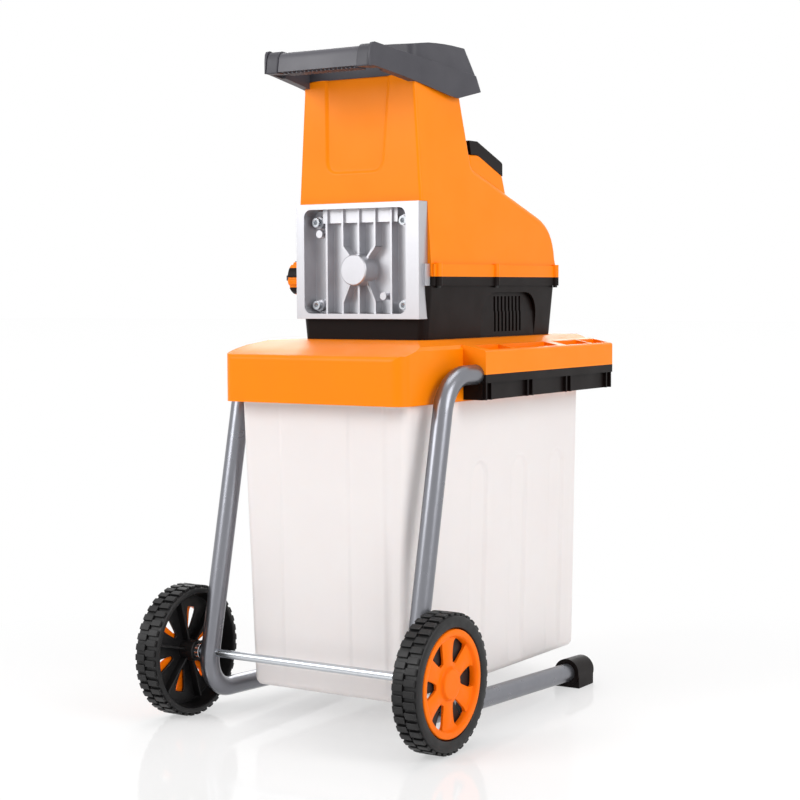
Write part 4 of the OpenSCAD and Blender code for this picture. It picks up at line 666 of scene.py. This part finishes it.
# Wheels: staggered tread blocks, a smooth sidewall, a dark web with six windows and a dished six-spoke cover
# Profiles are (distance outward from the wheel's middle plane, radius)
wheel = {"x": 217, "axle": (-235, 95), "radius": 95, "base": 91.0, "blocks": 40, "blockShare": 0.62,
    "blockRoot": 0.6, "blockSteps": 3, "rows": ((-17, -0.8), (0.8, 17)), "sides": 160, "hubSides": 48,
    "edge": 0.7,
    "tyre": ((-20, 84), (-20, 88), (-18.8, 90.4), (-16.8, 91), (16.8, 91), (18.8, 90.2), (19.7, 87.6),
        (20, 84.5), (19.8, 79), (18.9, 75.6), (17, 74.4), (3, 74.4), (3, 79), (-17, 82.5)),
    "hub": ((-20, 6.3), (-20, 14), (-18, 15), (11, 16), (11, 6.3)),
    "spokes": 6, "windowFrom": 30, "windowTo": 62,
    "windowHalf": ((29, 6), (31, 7.5), (36, 11), (44, 13.2), (54, 14.8), (59, 14.4), (62, 12.5), (66, 12.5)),
    "webFace": 6.5, "webBack": 3, "webRadii": (14, 22, 30, 36, 44, 54, 59, 62, 66, 75), "webNarrow": 0.62,
    "webTurn": 16, "ribFrom": 14.5, "ribTo": 75, "ribHalf": 1.5, "ribU": (-8, 4),
    "windowShares": (-1, -0.6, -0.2, 0.2, 0.6),  # points across half the window's width each way
    "spokeShares": (0, 0.15, 0.3, 0.5, 0.7, 0.85),  # points across a spoke, and how much each one swells
    "spokeCrown": (0, 0.5, 0.85, 1, 0.85, 0.5)}
wheelCover = {"back": 7.5, "crown": 2.4, "crownIn": (22, 34), "crownOut": (54, 63), "centre": 0.2,
    "edge": 0.8,
    "face": ((18.8, 0), (18.8, 10), (18.8, 18.6), (18.3, 20), (17, 20.8), (14, 22), (12.6, 24), (11.8, 30),
        (11.4, 36), (11.2, 42), (11.2, 48), (11.5, 54), (12, 58), (13, 61), (14, 62), (16.4, 63.2),
        (18.6, 64.4), (19.4, 66), (19.4, 71.2), (18.7, 72.7), (17, 73.2))}


# u is outward from the wheel's middle plane, r and a are radius and angle about the axle
def onWheel(side, u, r, a):
    return (side * (wheel["x"] + u), wheel["axle"][0] + r * math.cos(a), wheel["axle"][1] + r * math.sin(a))


def turned(side, profile, sides):
    points = [onWheel(side, u, r, 2 * math.pi * k / sides) for k in range(sides) for u, r in profile]
    return points, ringFaces(sides, len(profile), caps=False, closed=True)


def sectorAngles(r, narrow, turn):
    pitch = 2 * math.pi / wheel["spokes"]
    w = math.radians(between(r, wheel["windowHalf"])) * narrow
    across = [w * s for s in wheel["windowShares"]]
    across += [w + (pitch - 2 * w) * t for t in wheel["spokeShares"]]
    return [pitch * k + a + turn for k in range(wheel["spokes"]) for a in across]


# A disc with a window between each two spokes: front and back skins, joined by walls round every opening
def pierced(side, stations, back, crown, narrow=1.0, turn=0.0):
    rises = (0,) * len(wheel["windowShares"]) + wheel["spokeCrown"]
    count = len(rises) * wheel["spokes"]
    front, rear = [], []
    for u, r in stations:
        swell = crown * ease(r, *wheelCover["crownIn"]) * (1 - ease(r, *wheelCover["crownOut"]))
        for k, a in enumerate(sectorAngles(r, narrow, turn)):
            radius = max(r, wheelCover["centre"])
            front.append(onWheel(side, u + swell * rises[k % len(rises)], radius, a))
            rear.append(onWheel(side, back, radius, a))
    top = len(front)
    faces, edges = [], {}
    for i in range(len(stations) - 1):
        for k in range(count):
            inWindow = k % len(rises) < len(wheel["windowShares"])
            if inWindow and wheel["windowFrom"] <= stations[i][1] < wheel["windowTo"]:
                continue
            j = (k + 1) % count
            quad = (i * count + k, i * count + j, (i + 1) * count + j, (i + 1) * count + k)
            faces.append(quad)
            faces.append(tuple(top + v for v in reversed(quad)))
            for a, b in zip(quad, quad[1:] + quad[:1]):
                edges[(a, b)] = True
    for a, b in edges:
        if (b, a) not in edges:
            faces.append((b, a, top + a, top + b))
    return front + rear, faces


def treadBlock(side, start, end, low, high):
    steps, root = wheel["blockSteps"], wheel["base"] - wheel["blockRoot"]
    rings = []
    for k in range(steps + 1):
        a = start + (end - start) * k / steps
        rings += [onWheel(side, low, root, a), onWheel(side, high, root, a),
            onWheel(side, high, wheel["radius"], a), onWheel(side, low, wheel["radius"], a)]
    return rings, ringFaces(steps + 1, 4)


def webRib(side, a):
    inn, out = wheel["ribU"]
    across = Vector((-math.sin(a), math.cos(a))) * wheel["ribHalf"]
    points = []
    for r in (wheel["ribFrom"], wheel["ribTo"]):
        for u, s in ((inn, -1), (out, -1), (out, 1), (inn, 1)):
            x, y, z = onWheel(side, u, r, a)
            points.append((x, y + s * across.x, z + s * across.y))
    return points, ringFaces(2, 4)


def addWheel(side):
    w = wheel
    name = "Right" if side > 0 else "Left"
    webTurn = math.radians(w["webTurn"])
    shells = [turned(side, w["tyre"], w["sides"]), turned(side, w["hub"], w["hubSides"]),
        pierced(side, [(w["webFace"], r) for r in w["webRadii"]], w["webBack"], 0, w["webNarrow"], webTurn)]
    pitch = 2 * math.pi / w["blocks"]
    for k in range(w["blocks"]):
        for row, (low, high) in enumerate(w["rows"]):
            start = pitch * (k + 0.5 * row)  # the rows stand half a pitch apart
            shells.append(treadBlock(side, start, start + pitch * w["blockShare"], low, high))
    for k in range(w["spokes"]):
        shells.append(webRib(side, math.pi / w["spokes"] * (2 * k + 1) + webTurn))
    finishPiece(newMesh("wheel" + name, *joinMeshes(shells)), "wheel_" + name.lower(), w["edge"], crease=40)
    cover = newMesh("wheelCover" + name,
        *pierced(side, wheelCover["face"], wheelCover["back"], wheelCover["crown"]))
    finishPiece(cover, "wheel_cover_" + name.lower(), wheelCover["edge"], crease=50)


# Adjusting knob: five black grip pads let into the orange knob
knobPads = {"axis": (-52, 635), "x": (-145.9, -122.7), "inner": 19, "outer": 25.7, "count": 5, "width": 34,
    "first": 160.5, "edge": 0.8}


def addKnobPads():
    k = knobPads
    pads = []
    for i in range(k["count"]):
        middle = k["first"] + 360 * i / k["count"]
        start, end = middle - k["width"] / 2, middle + k["width"] / 2
        outline = arc(k["axis"], k["outer"], start, end) + arc(k["axis"], k["inner"], end, start)
        pads.append(prismX(outline, *k["x"]))
    coatPiece(newMesh("knobPads", *joinMeshes(pads)), bodyOf["adjusting_knob"],
        materialNamed["blackAbs"], k["edge"])


addTube(-1)
addTube(1)
addTub()
addKnobPads()
addHousing()
addHood()
addHandle()
addWheel(-1)
addWheel(1)
print("nodes remodelled:", len(replaced))


# Solids that keep their shape get softened edges; the casting is a little taller and has a round hub
edgeMm = {"base_cover": 2.0, "lower_housing": 0.3, "front_plate": 1.2, "plate_screws": 0.6, "foot_left": 1.5,
    "foot_right": 1.5, "rail_left": 0.8, "rail_right": 0.8, "control_panel": 1.5, "adjusting_knob": 1.0,
    "knob_grip": 0.8, "knob_collar": 0.8, "axle": 0.8, "axle_spacers": 0.6, "feed_chute": 0.8,
    "box_lock_slider": 1.0, "on_button": 1.0, "off_button": 1.0, "reset_button": 0.8,
    "direction_selector": 1.0, "frame_bolts": 0.5, "cutting_roller": 0.4}
casting = {"nodes": ("front_plate", "plate_screws"), "from": 670, "top": 737, "rise": 4, "hub": (-4.5, 645),
    "hubRings": ((-86, 23), (-109.4, 22.3), (-111, 20.8)), "hubSides": 64}
ventShadeSheets = {"x": (95.2, 96.9), "y": (100, 190), "z": (550, 610)}  # painted shade: dark sheets just behind the slots stand for the dark inside
weld = {"distance": 0.002, "angle": 0.1}  # joins doubled points and flat facets of a solid's mesh


def hubShell():
    c = casting
    points = [(x, y, z) for y, r in c["hubRings"] for x, z in circle(c["hub"], r, c["hubSides"])]
    return points, ringFaces(len(c["hubRings"]), c["hubSides"])


def stretchCasting(mesh):
    low, high = casting["from"] * mm, casting["top"] * mm
    for vertex in mesh.vertices:
        if vertex.co.z > low:
            vertex.co.z += casting["rise"] * mm * (vertex.co.z - low) / (high - low)


def dressNode(node, bevelMm, extra):
    piece = bpy.data.objects.new(node + ".skin", frame["nodes"][node].data.copy())
    scene.collection.objects.link(piece)
    shell = bmesh.new()
    shell.from_mesh(piece.data)
    bmesh.ops.remove_doubles(shell, verts=shell.verts, dist=weld["distance"] * mm)
    bmesh.ops.dissolve_limit(shell, angle_limit=math.radians(weld["angle"]), verts=shell.verts,
        edges=shell.edges)
    shell.to_mesh(piece.data)
    shell.free()
    if node in casting["nodes"]:
        stretchCasting(piece.data)
    if extra:
        addShells(piece, extra)
    finishPiece(piece, node, bevelMm)


# Painted shade: black sheets behind the vent slots, carried on the lower housing
shadeSheets = [blockMesh(sorted(side * x for x in ventShadeSheets["x"]), ventShadeSheets["y"], ventShadeSheets["z"]) for side in (-1, 1)]
extraShells = {"front_plate": [hubShell()], "lower_housing": shadeSheets}
for node, edge in edgeMm.items():
    dressNode(node, edge, extraShells.get(node, ()))
for node, solid in frame["nodes"].items():
    if node not in replaced:
        solid.data.materials.clear()
        solid.data.materials.append(materialFor(node))
print("solids dressed:", len(edgeMm))


# Camera, floor and light, in metres and watts
view = {"place": (1.454519, -2.244067, 0.615554), "yaw": 32.897, "pitch": -3.49, "roll": 0.309,
    "focalPx": 1796.05, "framePx": 800, "sensor": 36, "reach": 60}
sweep = {"half": 30, "drop": 0.0005, "colour": "#F3F3F3", "fadeFrom": 0.35, "fadeTo": 1.1, "nearWhite": 0.55,
    "shine": 0.1, "shineRough": 0.08}
sky = {"lighting": 0.38, "seen": 1.0}
lamps = {"key": {"place": (-1.3, -2.5, 1.82), "target": (0, 0, 0.5), "size": (1.5, 1.5), "power": 49},
    "side": {"place": (2.4, -0.4, 1.6), "target": (0, 0, 0.5), "size": (1.4, 1.8), "power": 36},
    "top": {"place": (0.0, 0.2, 2.8), "target": (0, 0, 0.5), "size": (1.6, 1.6), "power": 22},
    "rear": {"place": (-1.4, 2.4, 1.8), "target": (0, 0.1, 0.5), "size": (1.5, 1.5), "power": 30}}


def addCamera():
    yaw, pitch, roll = (math.radians(view[k]) for k in ("yaw", "pitch", "roll"))
    ahead = Vector((-math.sin(yaw) * math.cos(pitch), math.cos(yaw) * math.cos(pitch), math.sin(pitch)))
    level = ahead.cross(Vector((0, 0, 1))).normalized()
    down = ahead.cross(level)
    right = math.cos(roll) * level + math.sin(roll) * down
    up = -(math.cos(roll) * down - math.sin(roll) * level)
    lens = bpy.data.cameras.new("camera")
    lens.sensor_width = view["sensor"]
    lens.lens = view["focalPx"] * view["sensor"] / view["framePx"]
    lens.clip_end = view["reach"]
    camera = bpy.data.objects.new("camera", lens)
    turn = Matrix((right, up, -ahead)).transposed()
    camera.matrix_world = Matrix.Translation(Vector(view["place"])) @ turn.to_4x4()
    scene.collection.objects.link(camera)
    scene.camera = camera


def addLamp(name, lamp):
    data = bpy.data.lights.new(name, "AREA")
    data.shape = "RECTANGLE"
    data.size, data.size_y = lamp["size"]
    data.energy = lamp["power"]
    obj = bpy.data.objects.new(name, data)
    obj.location = lamp["place"]
    aim = Vector(lamp["target"]) - Vector(lamp["place"])
    obj.rotation_euler = aim.to_track_quat("-Z", "Y").to_euler()
    scene.collection.objects.link(obj)


# Gives one for a ray that shows the background itself: from the camera, off a gloss or through a clear piece
def seenDirectly(tree):
    path = addNode(tree, "ShaderNodeLightPath").outputs
    either = addNode(tree, "ShaderNodeMath", {0: path["Is Camera Ray"], 1: path["Is Glossy Ray"]},
        operation="MAXIMUM")
    return addNode(tree, "ShaderNodeMath", {0: either.outputs[0], 1: path["Is Transmission Ray"]},
        operation="MAXIMUM").outputs[0]


# White paper sweep that keeps the shadow near the object and a faint reflection
def addFloor():
    half = sweep["half"]
    corners = [(-half, -half, 0), (half, -half, 0), (half, half, 0), (-half, half, 0)]
    mesh = bpy.data.meshes.new("floor")
    mesh.from_pydata(corners, [], [(0, 1, 2, 3)])
    floor = bpy.data.objects.new("floor", mesh)
    floor.location.z = -sweep["drop"]
    scene.collection.objects.link(floor)
    paper = bpy.data.materials.new("whiteSweep")
    paper.use_nodes = True
    tree = paper.node_tree
    tree.nodes.remove(tree.nodes["Principled BSDF"])
    dull = addNode(tree, "ShaderNodeBsdfDiffuse", Color=linear(sweep["colour"]))
    place = addNode(tree, "ShaderNodeTexCoord")
    away = addNode(tree, "ShaderNodeVectorMath", {0: place.outputs["Object"]}, operation="LENGTH")
    fade = addNode(tree, "ShaderNodeMapRange", {"Value": away.outputs["Value"]},
        interpolation_type="SMOOTHSTEP", **{"From Min": sweep["fadeFrom"], "From Max": sweep["fadeTo"],
        "To Min": sweep["nearWhite"], "To Max": 1.0})
    share = addNode(tree, "ShaderNodeMath", {0: seenDirectly(tree), 1: fade.outputs["Result"]},
        operation="MULTIPLY")
    white = addNode(tree, "ShaderNodeEmission", Color=linear("#FFFFFF"), Strength=1.0)
    shine = addNode(tree, "ShaderNodeBsdfGlossy", Roughness=sweep["shineRough"], Color=linear("#FFFFFF"))
    base = addNode(tree, "ShaderNodeMixShader",
        {0: share.outputs[0], 1: dull.outputs[0], 2: white.outputs[0]})
    both = addNode(tree, "ShaderNodeMixShader", {1: base.outputs[0], 2: shine.outputs[0]}, Fac=sweep["shine"])
    tree.links.new(both.outputs[0], tree.nodes["Material Output"].inputs["Surface"])
    mesh.materials.append(paper)


def addSky():
    world = bpy.data.worlds.new("studio")
    scene.world = world
    world.use_nodes = True
    tree = world.node_tree
    back = tree.nodes["Background"]
    back.inputs["Color"].default_value = linear("#FFFFFF")
    level = addNode(tree, "ShaderNodeMapRange", {"Value": seenDirectly(tree)},
        **{"To Min": sky["lighting"], "To Max": sky["seen"]})
    tree.links.new(level.outputs["Result"], back.inputs["Strength"])


addCamera()
addFloor()
addSky()
for name, lamp in lamps.items():
    addLamp(name, lamp)
scene.view_settings.view_transform = "Standard"
print("camera, floor and light ready")
